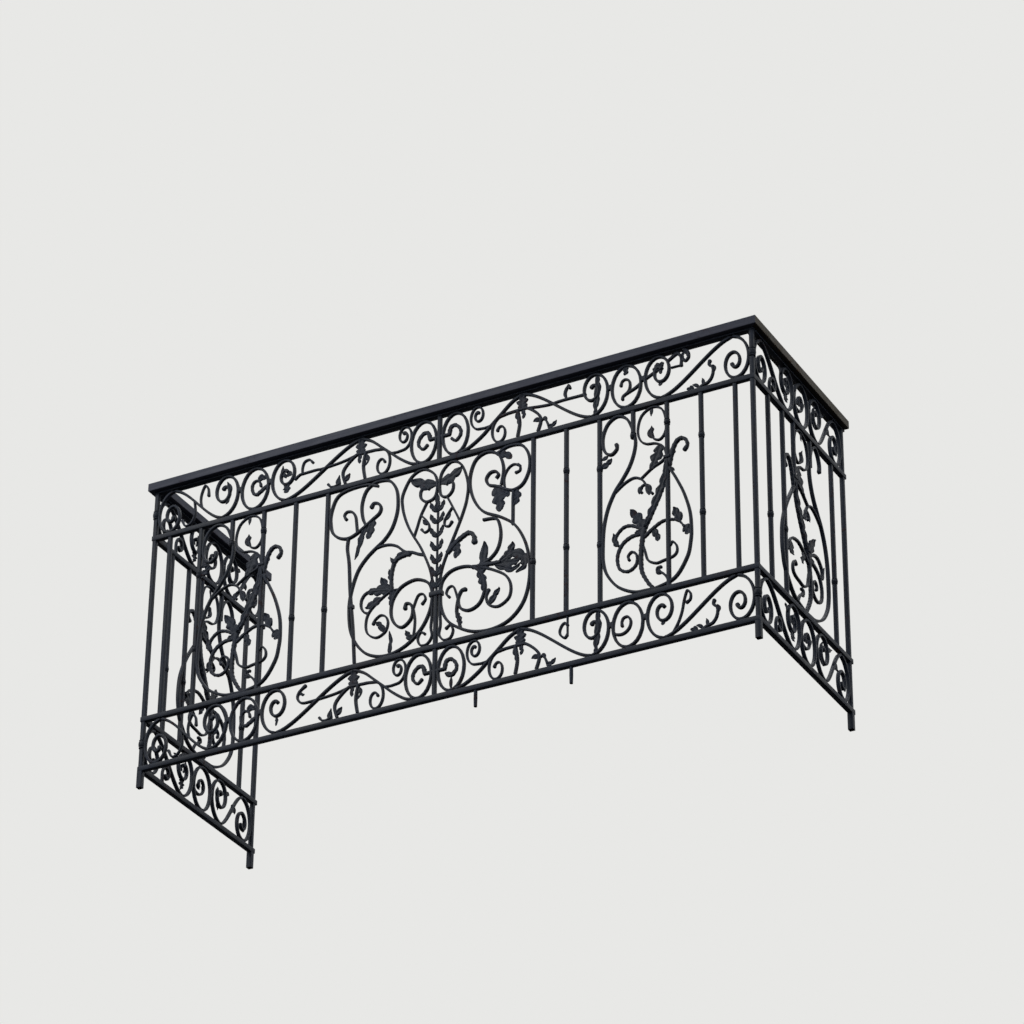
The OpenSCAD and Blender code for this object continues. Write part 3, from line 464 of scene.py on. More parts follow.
def teardrop(pen, bulge, head):
    """Outline of a teardrop from the head's scroll round the foot to the apex, and what grows in it."""
    swell = (bulge - DROP_REF) / (FRONT_BULGE - DROP_REF)
    outline = [(u + max(0, u - DROP_REF) * (swell - 1), v) for u, v in head + BODY]
    pen.rod(smooth(pen.at(outline)), SCROLL, bud_a=True, bud_b=False)
    # Branch over the teardrop with two small curls
    pen.vine([(50, 350), (82, 373), (112, 383), (136, 373), (150, 353), (160, 330), (172, 316)], 7, VINE)
    pen.vine([(150, 353), (139, 348), (132, 338), (137, 328)])
    # Thick stem from the apex to the foot
    pen.vine([(222, 420), (210, 350), (188, 295), (162, 240), (144, 202), (136, 155), (133, 105), (137, 65),
        (157, 25), (172, 6)], 17, 10, snub=False)
    # Inner scroll and the arc over it
    pen.vine([(144, 202), (136, 193), (102, 190), (72, 171), (57, 135), (64, 95), (92, 80), (117, 95),
        (120, 125), (105, 140), (92, 130), (95, 116)], 11, VINE)
    pen.vine([(144, 202), (108, 225), (80, 228), (58, 211), (51, 190), (60, 172)], 10, VINE)
    # Arch beyond the stem, and the loop under it
    pen.vine([(144, 178), (166, 195), (197, 213), (222, 216), (253, 206), (274, 180)], 10, VINE)
    pen.vine([(136, 165), (146, 133), (156, 100), (182, 84), (207, 87), (236, 92), (249, 105), (248, 125),
        (236, 140), (227, 132)], 7)
    pen.vine([(224, 12), (212, 36), (197, 51), (185, 56), (186, 67), (197, 68)], 7)
    # Ring scroll above, its ball, and the hook beyond the through bar
    pen.vine([(219, 430), (209, 462), (184, 480), (154, 486), (134, 504), (126, 540), (139, 585),
        (174, CREST), (206, 590), (219, 545), (216, 510), (199, 490), (179, 497), (171, 518), (174, 532)])
    pen.blade([(180, 500), (168, 518), (174, 540)], 17, 1)
    pen.blade([(173, CREST), (172, 592), (171, 574)], 9, 1)
    pen.vine([(226, 388), (238, 440), (252, 468), (268, 475), (283, 465), (287, 447), (278, 434)],
        13, SCROLL)
    # Leaves on the inner scroll and its arc
    pen.blade([(144, 204), (132, 230), (118, 254), (102, 278)], 32, 3)
    pen.blade([(60, 172), (50, 186), (46, 214)], 17)
    # Leaves on the arch: its first one hangs in a side and stands in the front
    if head is SIDE_HEAD:
        pen.blade([(264, 196), (262, 172), (252, 148)], 30, 2)
    else:
        pen.blade([(262, 200), (252, 224), (242, 250)], 26, 2)
    pen.blade([(272, 184), (282, 170), (288, 150)], 26, 2)
    pen.blade([(174, 198), (184, 176), (192, 152)], 20, 2)
    # Leaves under the ring scroll and on the branch, and the link from the branch to the apex
    pen.blade([(200, 474), (194, 450), (182, 424), (168, 392)], 34, 3)
    pen.blade([(150, 352), (160, 334), (164, 310)], 18, 1)
    pen.blade([(140, 350), (133, 340), (131, 322)], 14, 1)
    pen.vine([(218, 424), (200, 412), (172, 400), (136, 374)], 7, VINE, snub=False)
    # Leaf along the stem, thorns, and the band that ties the apex to the through bar
    pen.blade([(222, 418), (210, 350), (188, 295), (162, 240), (147, 208)], 23, 7, 3.4)
    pen.blade([(148, 206), (132, 202), (116, 196)], 18, 2, 1.0)
    pen.blade([(230, 428), (240, 431), (250, 436)], 8, 1)
    pen.blade([(229, 386), (238, 380), (246, 372)], 8, 1)
    pen.blade([(202, 48), (190, 54), (187, 68)], 15, 1)
    pen.tie(DROP_REF * pen.across, 424 * pen.up, BAR + 7, 11, BAR + 5)


def bar_leaves(pen):
    """Leaves on the bar that the head touches, only in the front."""
    pen.blade([(6, 444), (24, 452), (42, 466)], 20, 2)
    pen.blade([(6, 470), (18, 474), (30, 478)], 12, 1)


def drop_bars(pen, low):
    """Through bar of a teardrop from a height up, and the short bar over its shoulder."""
    for u, v in ((DROP_REF, low), SHORT_BAR):
        pen.bar(*pen.at([(u, v), (u, PANEL_REF)]), 1, BAR)


LYRE_FOOT = [(16, 60), (12, 30), (28, 8), (50, 10), (59, 32), (50, 52), (36, 44)]


def lyre_right(pen):
    """Right half of the lyre."""
    # Arm: scroll at the top, long stem down beside the middle bar, small foot scroll
    pen.vine([(26, 530), (36, 545), (50, 530), (48, 505), (30, 489), (9, 500), (3.7, 540), (13, 580),
        (44, CREST), (78, 585), (100, 520), (98, 465), (84, 415), (60, 355), (34, 295), (17, 245),
        (12, 205), (12, 150), (14, 100), *LYRE_FOOT], SCROLL, VINE)
    # Great scroll: upper turn, crossing, round the bottom and into the inner turn
    pen.vine([(214, 480), (221, 535), (204, 585), (164, CREST), (124, 585), (107, 525), (119, 460),
        (154, 405), (214, 370), (262, 330), (296, 265), (311, 190), (308, 120), (288, 62), (246, 20),
        (190, 4), (132, 10), (84, 32), (40, 68), (18, 115), (14, 165), (20, 205), (46, 230), (84, 236),
        (122, 226), (152, 195), (164, 150), (148, 102), (114, 85), (84, 98), (74, 128), (84, 155),
        (98, 158)], SCROLL, SCROLL)
    # Outer upper scroll, linked into the inner curl of the great scroll's upper turn
    pen.vine([(196, 506), (204, 518), (193, 531), (175, 530), (163, 512), (172, 490), (196, 480),
        (214, 470), (226, 462), (256, 451), (288, 465), (308, 510), (305, 560), (280, 598), (236, CREST),
        (200, 590)], SCROLL, SCROLL)
    pen.vine([(226, 462), (223, 500), (236, 528), (256, 538), (275, 527), (276, 512), (263, 508)])
    pen.blade([(262, 536), (274, 530), (280, 514)], 10, 2)
    # Scroll under the crossing, and the lower scroll on the right
    pen.vine([(154, 376), (196, 370), (210, 345), (214, 305), (204, 265), (178, 238), (144, 226),
        (122, 226)], SCROLL, SCROLL)
    pen.vine([(122, 226), (160, 214), (196, 196), (232, 170), (249, 135), (244, 95), (210, 74), (178, 86),
        (168, 114), (176, 136)], 8, 7)
    # Lighter branches inside the arm and inside the great scroll
    pen.vine([(30, 489), (50, 448), (68, 410), (75, 391)], snub=False)
    pen.vine([(50, 448), (36, 430), (24, 410), (24, 392), (38, 386), (48, 398)])
    pen.vine([(34, 295), (59, 320), (89, 340), (109, 345), (124, 330), (126, 310)], 15, 11)
    pen.vine([(74, 128), (59, 175), (42, 178), (34, 160), (44, 146)])
    pen.vine([(74, 128), (71, 110), (70, 88), (76, 66), (84, 32)], 8, 8, snub=False)
    pen.vine([(144, 226), (180, 222), (214, 220)], 13, 10, snub=False)
    pen.vine([(254, 334), (254, 380), (254, 425), (256, 451)], 8, 8, snub=False)
    # Leaves of the arm and of the two upper scrolls
    pen.blade([(3.7, 540), (34, 548), (58, 560), (82, 578)], 34, 2)
    pen.blade([(204, 588), (226, 580), (252, 560)], 24, 2)
    pen.blade([(59, 320), (68, 300), (64, 268)], 26, 2)
    pen.blade([(152, 195), (158, 240), (162, 300)], 31, 2)
    # Leafy bunch in the middle of the great scroll, and the leaves of its lower half
    pen.blade([(228, 226), (246, 248), (257, 274)], 26, 2)
    pen.blade([(206, 220), (250, 236), (288, 220), (295, 190), (268, 168)], 30, 4)
    pen.blade([(200, 216), (236, 211), (278, 206)], 32, 3, -1.5)
    pen.blade([(196, 212), (226, 197), (256, 184), (284, 196)], 20, 3, 1.5)
    pen.blade([(178, 86), (196, 112), (214, 134)], 20, 2)
    pen.blade([(72, 88), (79, 64), (87, 42)], 17, 3)
    # Leaves between the crossing and the outer upper scroll
    pen.blade([(200, 482), (204, 454), (209, 424), (212, 386)], 42, 3)
    pen.blade([(208, 460), (226, 448), (246, 434)], 20, 2)
    pen.blade([(256, 455), (266, 438), (268, 418), (260, 394)], 24, 3)
    pen.blade([(143, 216), (150, 190), (157, 165), (158, 136)], 25, 3)
    pen.blade([(24, 410), (34, 418), (44, 430)], 14, 1)


def lyre_left(pen):
    """Left half of the lyre, which differs from the right one."""
    # Arm: the same three parts as on the right
    pen.vine([(32, 530), (44, 545), (60, 530), (58, 505), (37, 489), (11, 500), (4, 540), (16, 580),
        (54, CREST), (94, 588), (122, 535), (122, 495), (113, 455), (98, 415), (80, 380), (60, 345),
        (44, 310), (23, 255), (13, 205), (12, 165), (13, 100), *LYRE_FOOT], SCROLL, VINE)
    # Outer upper scroll, and its inner hook
    pen.vine([(208, 590), (252, CREST), (316, 603), (352, 585), (370, 535), (369, 495), (360, 465),
        (336, 443), (306, 435), (276, 445), (246, 463), (221, 480), (202, 493), (196, 510), (204, 527),
        (221, 533), (229, 522)], SCROLL, SCROLL)
    pen.vine([(276, 445), (280, 480), (284, 505), (296, 523), (314, 528), (323, 517), (316, 503)], 8, 7)
    # Tie where the leaning bar and the great scroll meet
    pen.tie(290 * pen.across, 197 * pen.up, 18, 13, 13)
    # Great scroll with its upper circle
    pen.vine([(246, 463), (258, 490), (263, 535), (251, 580), (226, 601), (198, CREST), (166, 595),
        (144, 560), (138, 515), (141, 475), (156, 430), (181, 397), (211, 375), (241, 350), (268, 315),
        (286, 265), (295, 215), (295, 165), (288, 115), (269, 70), (236, 30), (196, 9), (156, 4), (116, 13),
        (76, 36), (40, 75), (18, 125), (14, 175), (28, 212), (64, 232), (96, 230), (126, 215), (148, 180),
        (151, 135), (136, 100), (111, 85), (84, 105), (78, 135), (86, 155), (101, 160), (104, 145)],
        SCROLL, SCROLL)
    # Lower scroll, the branch from the crossing to the arm, and the leaning bar
    pen.vine([(126, 215), (150, 216), (176, 205), (221, 170), (236, 135), (231, 95), (201, 72), (171, 83),
        (161, 110), (168, 133), (186, 143), (204, 133), (211, 120)])
    pen.vine([(211, 375), (186, 378), (161, 375), (136, 363), (118, 345), (104, 335), (84, 329), (64, 318),
        (44, 310)], 7, 9, snub=False)
    pen.vine([(272, 4), (281, 125), (294, 245), (301, 345), (309, 400), (306, 435)], 8, SCROLL, snub=False)
    # Lighter branches
    pen.vine([(37, 489), (58, 448), (70, 410), (80, 380)], snub=False)
    pen.vine([(58, 448), (42, 430), (30, 410), (30, 392), (44, 386), (54, 398)])
    pen.vine([(78, 135), (62, 176), (44, 178), (36, 160), (46, 146)])
    pen.vine([(76, 136), (71, 110), (70, 88), (72, 60), (76, 36)], snub=False)
    pen.vine([(150, 216), (180, 226), (232, 231), (252, 215), (255, 190), (246, 170), (231, 160)], 9, VINE)
    pen.vine([(151, 216), (154, 262), (148, 300), (136, 319), (116, 325), (94, 328)], 10, 11)
    # Leaves of the arm and of the sheathed branch
    pen.blade([(4, 540), (38, 548), (66, 560), (96, 580)], 34, 2)
    pen.blade([(150, 250), (158, 268), (160, 290)], 14, 2)
    pen.blade([(146, 300), (150, 316), (158, 330)], 11, 1)
    pen.blade([(96, 326), (114, 330), (134, 324), (147, 306)], 20, 3, 1.0)
    # Leaves inside the great scroll
    pen.blade([(146, 222), (150, 196), (152, 162)], 21, 3)
    pen.blade([(160, 214), (174, 240), (186, 268)], 25, 2)
    pen.blade([(150, 216), (190, 227), (236, 231)], 32, 3)
    pen.blade([(186, 202), (210, 190), (238, 178)], 26, 2)
    pen.blade([(156, 4), (150, 40), (154, 82)], 13, 2)
    pen.blade([(76, 36), (90, 50), (98, 68)], 18, 2)
    # Leaves under the outer upper scroll, and the small ones
    pen.blade([(246, 463), (262, 420), (279, 352)], 19, 3)
    pen.blade([(221, 480), (230, 446), (238, 412)], 28, 3)
    pen.blade([(171, 83), (186, 108), (200, 122)], 18, 2)
    pen.blade([(30, 410), (40, 418), (50, 430)], 14, 1)


# A trio is a ring between two scrolls: how far the scrolls start from its middle, in front and in a side
TRIO_PITCH, SIDE_PITCH, RING_RU = 109.5, 105, 47
# How far a trio's middle is from the corner post, and where it stands in a side of the drawn depth
TRIO_FROM_POST, SIDE_TRIO, SIDE_REF = {RIGHT: 404, LEFT: 356}, 332, 622
# How tight and how slim the scrolls of a trio and those by the posts are
TRIO_ROLL, END_ROLL = (0.37, 0.7), (0.385, 0.667)
END_U = -POST / 2 - SCROLL / 2 - roll_reach(HI, LO, *END_ROLL)
# Highest point of the wave in each half, from the middle
WAVE_PEAK = {RIGHT: 276, LEFT: 267}


def trio_curl(u, hand):
    """One of the two scrolls of a trio."""
    return roll(u, LO, HI, hand, 1.6, *TRIO_ROLL, 116)


def end_group(pen, u, kind):
    """The scroll by a post, the long diagonal from it and the scroll at the diagonal's far end.

    The kind is top or bottom on the right of the front, left on its left, and in a side it is side by
    the corner post and wall by the other post; each has its own small vines and leaves.
    """
    tail = roll(END_U, HI, LO, 1, 1.68, *END_ROLL)
    diagonal = (END_U, HI), (-1, 0), (u, LO), (-1, 0)
    slope = link(*diagonal, (3 / 7, 4 / 7, 6 / 7))
    pen.rod(np.concatenate([tail[::-1], link(*diagonal), trio_curl(u, -1)]), SCROLL, bud_a=True)
    if kind in ("side", "wall"):
        step = len(tail) // 6
        pen.blade([tail[-1], tail[-1 - step], tail[-1 - 2 * step]], 15, 1)
        pen.blade([(u + 28, 108), (u + 40, 121), (u + 54, 127)], 13, 1)
    if kind == "side":
        hook = pen.moved(slope[1][0])
        hook.vine([(14, 62), (30, 57), (40, 34), (39, 5)], 7, start=[(0, slope[1][1])])
        hook.vine([(30, 57), (13, 56), (7, 38), (14, 22), (26, 28)], 10, 8)
        hook.blade([(14, 56), (7, 38), (14, 20)], 14, 1)
    elif kind == "wall":
        pen.blade([(-116, 72), (-106, 88), (-92, 76)], 22, 1)
    elif kind == "left":
        pen.vine([(-160, 86), (-163, 112), (-174, 135), (-186, 120), (-188, 96)], start=[slope[1]])
        pen.vine([(-142, 44), (-128, 14), (-108, 10), (-96, 32)], start=[slope[0]])
    else:
        pen.vine([(-176, -2), (-157, 9), (-140, 14), (-128, 30), (-124, 50), (-128, 64), (-137, 72),
            (-134, 84)], 8, 7)
        pen.blade([(-158, 8), (-156, 20), (-159, 32)], 9, 1)
        pen.blade([(-168, 6), (-178, 13), (-190, 18)], 10, 1)
        pen.blade([(-186, 3), (-197, 9), (-208, 6)], 15, 2)
        pen.blade([(-127, 40), (-121, 54), (-124, 68)], 12, 1)
        if kind == "top":
            pen.vine([(-273, 120), (-248, 136), (-234, 139), (-226, 122), (-226, 96)], 8.5, 7)
            pen.vine([(-219, 152), (-204, 137), (-202, 118), (-212, 108), (-220, 116)], 9, 7)
            pen.vine([(-259, 97), (-242, 97), (-226, 96)], 4.5, 4.5, snub=False)
            pen.blade([(-262, 126), (-248, 137), (-236, 139), (-228, 126)], 13, 3)
            pen.blade([(-217, 148), (-205, 134), (-204, 120)], 14, 2)
            pen.blade([(-217, 142), (-221, 128), (-222, 112)], 10, 2)
        else:
            pen.vine([(-246, 42), (-234, 75), (-228, 105), (-218, 136), (-207, 125), (-208, 107),
                (-219, 99)], start=[slope[2]])


def trio_ring(pen, kind):
    """The oval ring in the middle of a trio, with its ties and its inner curl."""
    pen.ring(0, FRIEZE_H / 2, RING_RU, (HI - LO) / 2)
    gap = TRIO_PITCH - RING_RU - roll_reach(LO, HI, *TRIO_ROLL)
    for s in (-1, 1):
        pen.tie(s * (RING_RU + gap / 2), FRIEZE_H / 2 + 11, gap, 18)
    if kind == "top":
        pen.vine([(46, 72), (30, 62), (8, 53), (-10, 45), (-13, 34)], 9, VINE)
        pen.vine([(-10, 45), (6, 56), (12, 74), (9, 92), (-3, 100), (-14, 95), (-18, 82)], 8)
        pen.blade([(-3, 146), (-1, 130), (-4, 112)], 17)
    elif kind == "left":
        pen.vine([(-46, 75), (-32, 67), (-19, 58), (-6, 52), (6, 61), (11, 80), (8, 94), (-1, 101),
            (-11, 99), (-18, 90), (-20, 79)], 11, VINE)
        pen.blade([(-10, 98), (-24, 109), (-41, 98)], 20, 2)
        pen.blade([(-40, 72), (-24, 62), (-8, 52)], 14, 2)
    else:
        pen.vine([(-46, 62), (-38, 52), (-20, 48), (-4, 54), (7, 68), (9, 86), (0, 100), (-13, 99),
            (-19, 88), (-18, 74)], 8, VINE)
        if kind == "side":
            pen.blade([(4, 64), (10, 88), (-4, 102)], 17, 2)
            pen.blade([(-18, 90), (-20, 76), (-6, 70)], 15, 1)


def trio_leaves(pen, kind, t=TRIO_PITCH):
    """Leaves inside the two scrolls of a trio, which start at t on either side of its middle."""
    if kind == "top":
        pen.vine([(t - 45, 84), (t - 28, 92), (t - 10, 102)], 8, 7)
        pen.blade([(t - 20, 98), (t - 6, 112), (t + 15, 119)], 25, 3)
        pen.blade([(t - 6, 112), (t, 100), (t + 4, 84)], 13)
    if kind in ("left", "left top", "side"):
        pen.blade([(t - 14, 82), (t - 18, 101), (t - 10, 125)], 15, 1)
        pen.blade([(t - 8, 109), (t + 3, 108), (t + 2, 96)], 13)
        pen.blade([(t - 13, 79), (t - 13, 62), (t - 7, 46)], 11, 1)
        pen.blade([(-t - 3, 62), (-t - 5, 46), (-t - 3, 26)], 10 if kind == "left" else 24, 3)
        if kind != "left":
            pen.blade([(-t - 1, 82), (-t + 11, 102), (-t + 11, 128)], 13, 1)
            pen.blade([(-t - 15, 104), (-t - 12, 91), (-t - 1, 92)], 14)
    else:
        pen.blade([(t, 60), (t + 2, 44)], 11, 1)
        pen.blade([(-t + 14, 145), (-t + 16, 100), (-t + 10, 40), (-t + 5, 5)], 19, 4)


def wave_ring(pen, kind):
    """Ring by the middle bar, its curl, and the tie that crosses to the middle bar."""
    pen.ring(54, FRIEZE_H / 2, 43, (HI - LO) / 2)
    pen.tie(18, 78 * FRIEZE_K, 36, 10, SCROLL_D)
    pen.vine([(33, 78), (38, 101), (54, 105), (70, 88), (71, 67), (56, 51), (42, 61)], 13, 7)
    if kind == "bottom":
        pen.blade([(56, 5), (55, 28), (56, 50)], 9, 1)
        pen.blade([(34, 64), (56, 55), (78, 70)], 16)


def wave_group(pen, side, near, kind):
    """The wave from the ring to the trio, the scroll over it, and the arch under it with its leaves."""
    peak = WAVE_PEAK[side]
    # All is drawn for the right half; the left one has its peak nearer to the middle
    shift = peak - WAVE_PEAK[RIGHT]
    rise = [(102 - shift / 2, 13), (144, 40), (175, 68), (207, 97), (244, 130)]
    rise = [(70, LO)] + [(u + shift, v) for u, v in pen.at(rise)] + [(peak, HI)]
    fall = link((peak, HI), (1, 0), (near, LO), (1, 0))
    pen.rod(np.concatenate([smooth(rise), fall, trio_curl(near, 1)]), SCROLL)
    arch = pen.moved(shift)
    # Small scroll on the wave's rise
    branch = smooth(pen.at([(175, 68), (153, 66)]))[:-1]
    small = roll(131, 68 * FRIEZE_K, HI, -1, 1.55, 0.42, 0.66)
    arch.rod(np.concatenate([branch, small]), VINE, 7, deep=VINE_D)
    # The arch, from the scroll under the wave over its middle and down to the rail
    under = roll(206, 92 * FRIEZE_K, LO, -1, 1.2, 0.36, 0.64)
    over = smooth(pen.at([(232, 95), (264, 96), (279, 96), (299, 94), (332, 65), (342, 40), (332, 4)]))
    arch.rod(np.concatenate([under[::-1], over]), VINE, 9, bud_a=True, bud_b=False, deep=VINE_D)
    arch.vine([(264, 96), (271, 50), (264, 4)], 8, 8, snub=False)
    arch.blade([(262, 94), (266, 70), (272, 40)], 16, 2)
    arch.blade([(279, 94), (280, 118), (281, 146)], 34, 3)
    arch.blade([(279, 96), (285, 80), (283, 60)], 13)
    if side == LEFT:
        arch.blade([(264, 92), (253, 72), (263, 48)], 8, 1)
        arch.blade([(338, 20), (327, 23), (314, 34)], 18, 1)
        arch.blade([(349, 2), (357, 17), (351, 38)], 15, 1)
        arch.vine([(354, 10), (370, 5), (384, 8), (392, 18)], 6)
    else:
        arch.blade([(341, 40), (329, 45), (318, 40)], 14, 1)
        arch.vine([(342, 40), (356, 40), (368, 14)], 7)
        arch.blade([(364, 16), (378, 10), (396, 24)], 16, 2)
        arch.blade([(346, 38), (356, 42), (362, 30)], 12, 1)
    # Vine from the arch to the trio, and its curls
    start = (299 + shift, 94)
    if kind == "top":
        pen.vine([start, (364, 86), (414, 88), (488, 87)], 7, 7)
        pen.vine([(427, 88), (423, 112), (434, 134), (438, 124)], 6.5)
        pen.blade([(426, 92), (422, 114), (434, 136)], 11)
    elif kind == "bottom":
        pen.vine([(432, 152), (432, 128), (432, 86)], 4, 4, snub=False)
        pen.vine([(432, 92), (424, 82), (411, 92), (407, 107), (414, 124), (424, 130), (432, 121)], 6.5)
    elif kind == "left top":
        pen.vine([start, (336, 85), (406, 80), (426, 82), (476, 81), (486, 80), (501, 70)])
        pen.vine([(476, 81), (477, 102), (470, 121), (453, 125), (441, 112)])
    else:
        pen.vine([start, (336, 85), (411, 80), (446, 82), (461, 100), (456, 120), (436, 136)], VINE, 7)
        pen.blade([(456, 118), (446, 110), (436, 107)], 9)


def frieze_half(pen, side, level):
    """Half of a front frieze, outwards from the middle bar."""
    kind = "left" if side == LEFT else level
    post_u = HALF_W - side * MIDDLE_X
    trio_u = HALF_W - TRIO_FROM_POST[side] - side * MIDDLE_X
    end_group(pen.moved(post_u), trio_u + TRIO_PITCH - post_u, kind)
    trio_ring(pen.moved(trio_u), kind)
    # The leaves and vines of the left half differ between the two friezes
    crown = "left top" if side == LEFT and level == "top" else kind
    trio_leaves(pen.moved(trio_u), crown)
    wave_ring(pen, kind)
    wave_group(pen, side, trio_u - TRIO_PITCH, crown)


def frieze_side(pen):
    """A whole side frieze, with an end scroll by each post."""
    trio_u = SIDE_TRIO * SIDE_D / SIDE_REF
    end_group(pen.moved(0, -1), SIDE_PITCH - trio_u, "side")
    end_group(pen.moved(SIDE_D), trio_u + SIDE_PITCH - SIDE_D, "wall")
    trio_ring(pen.moved(trio_u), "side")
    trio_leaves(pen.moved(trio_u), "side", SIDE_PITCH)


# Forging: strokes become iron
class Bay:
    """A flat bay of the railing, with its ways across, up and out."""

    def __init__(self, origin, across, out):
        self.origin, self.across, self.out = [np.array(v, float) for v in (origin, across, out)]

    def place(self, path, out=0.0):
        """Points of a path, moved out of the bay's plane, in metres."""
        spot = self.origin + path[:, :1] * self.across + path[:, 1:2] * np.array((0, 0, 1.0))
        return (spot + np.reshape(out, (-1, 1)) * self.out) / 1000


def front_bay(x, z, side=RIGHT, y=FRONT_Y):
    """A bay in the front, drawn from x outwards on one side."""
    return Bay((x, y, z), (side, 0, 0), (0, -1, 0))


def side_bay(side, z, u=0.0, way=1):
    """A bay in a side, drawn from u behind the corner post; way 1 goes to the wall."""
    return Bay((side * HALF_W, FRONT_Y + u, z), (0, way, 0), (side, 0, 0))


def forge_tree():
    """Sweeps a rounded section along every stroke: attribute thick across the bay, deep through it."""
    if "forged_bar" in bpy.data.node_groups:
        return bpy.data.node_groups["forged_bar"]
    tree = bpy.data.node_groups.new("forged_bar", "GeometryNodeTree")
    b = Bench(tree)
    inputs = {"Strokes": "Geometry", "Out of the bay": "Vector", "Corner": "Float", "Paint": "Material"}
    strokes, out, corner, paint = b.group(inputs, "Iron")

    def noted(geometry, name, value, kind="FLOAT_VECTOR"):
        note = {"Geometry": geometry, "Name": name, "Value": value}
        return b.add("GeometryNodeStoreNamedAttribute", {"data_type": kind, "domain": "POINT"}, note)

    def read(name, kind="FLOAT_VECTOR"):
        return b.add("GeometryNodeInputNamedAttribute", {"data_type": kind}, {"Name": name})

    line = b.add("GeometryNodeMeshToCurve", {}, {"Mesh": strokes})
    line = noted(line, "centre", b.add("GeometryNodeInputPosition"))
    beside = b.vector("CROSS_PRODUCT", {0: b.add("GeometryNodeInputTangent"), 1: out})
    line = noted(line, "beside", b.vector("NORMALIZE", {0: beside}))
    sides = {"Width": 2.0, "Height": 2.0}
    square = b.add("GeometryNodeCurvePrimitiveQuadrilateral", {"mode": "RECTANGLE"}, sides)
    softened = {"Curve": square, "Count": 2, "Radius": corner}
    section = b.add("GeometryNodeFilletCurve", {"mode": "POLY"}, softened)
    section = noted(section, "section", b.add("GeometryNodeInputPosition"))
    swept = {"Curve": line, "Profile Curve": section, "Fill Caps": True}
    iron = b.add("GeometryNodeCurveToMesh", {}, swept)
    # The section is two units wide; each point of it now goes to its real place beside and before the line
    across, through = [b.add("ShaderNodeSeparateXYZ", {}, {0: read("section")}, axis) for axis in "XY"]
    aside = b.vector("SCALE", {0: read("beside"), "Scale": across * read("thick", "FLOAT") * 0.5})
    proud = b.vector("SCALE", {0: out, "Scale": through * read("deep", "FLOAT") * 0.5})
    there = b.vector("ADD", {0: b.vector("ADD", {0: read("centre"), 1: aside}), 1: proud})
    iron = b.add("GeometryNodeSetPosition", {}, {"Geometry": iron, "Position": there})
    # The corners of the section are marked for the paint, which wears there
    flat = 1.0 + (1 - corner) * (1 - corner) + 0.02
    ridge = (across * across + through * through).over(flat, 2.0 - corner * 1.1)
    iron = noted(iron, "edge", ridge, "FLOAT")
    for name in ("centre", "beside", "section", "thick", "deep"):
        iron = b.add("GeometryNodeRemoveAttribute", {}, {"Geometry": iron, "Name": name})
    b.paint(iron, paint)
    return tree


def grown(tree, holder, inputs):
    """The mesh that a geometry tree makes of an object, with the tree's inputs given by name."""
    sockets = {s.name: s.identifier for s in tree.interface.items_tree if s.in_out == "INPUT"}
    modifier = holder.modifiers.new(tree.name, "NODES")
    modifier.node_group = tree
    for name, value in inputs.items():
        modifier[sockets[name]] = value
    graph = bpy.context.evaluated_depsgraph_get()
    made = bpy.data.meshes.new_from_object(holder.evaluated_get(graph), depsgraph=graph)
    holder.modifiers.remove(modifier)
    return made


def forged(rods, bay, corner):
    """One mesh of all the rods of a drawing; corner is how far the section's corners are rounded, of 1."""
    spots, edges, thick, deep = [], [], [], []
    for path, t, d, closed in rods:
        first, count = len(spots), len(path)
        spots += [tuple(p) for p in bay.place(path)]
        edges += [(first + i, first + i + 1) for i in range(count - 1)]
        if closed:
            edges.append((first + count - 1, first))
        thick += list(t / 1000)
        deep += list(d / 1000)
    mesh = bpy.data.meshes.new("strokes")
    mesh.from_pydata(spots, edges, [])
    for name, values in (("thick", thick), ("deep", deep)):
        mesh.attributes.new(name, "FLOAT", "POINT").data.foreach_set("value", values)
    holder = bpy.data.objects.new("strokes", mesh)
    bpy.context.scene.collection.objects.link(holder)
    inputs = {"Out of the bay": tuple(bay.out), "Corner": corner, "Paint": paints()["forged_iron_paint"]}
    made = grown(forge_tree(), holder, inputs)
    bpy.data.objects.remove(holder)
    return made


# Thickness of the sheet that leaves are cut from, in millimetres
LEAF_IRON = 1.7


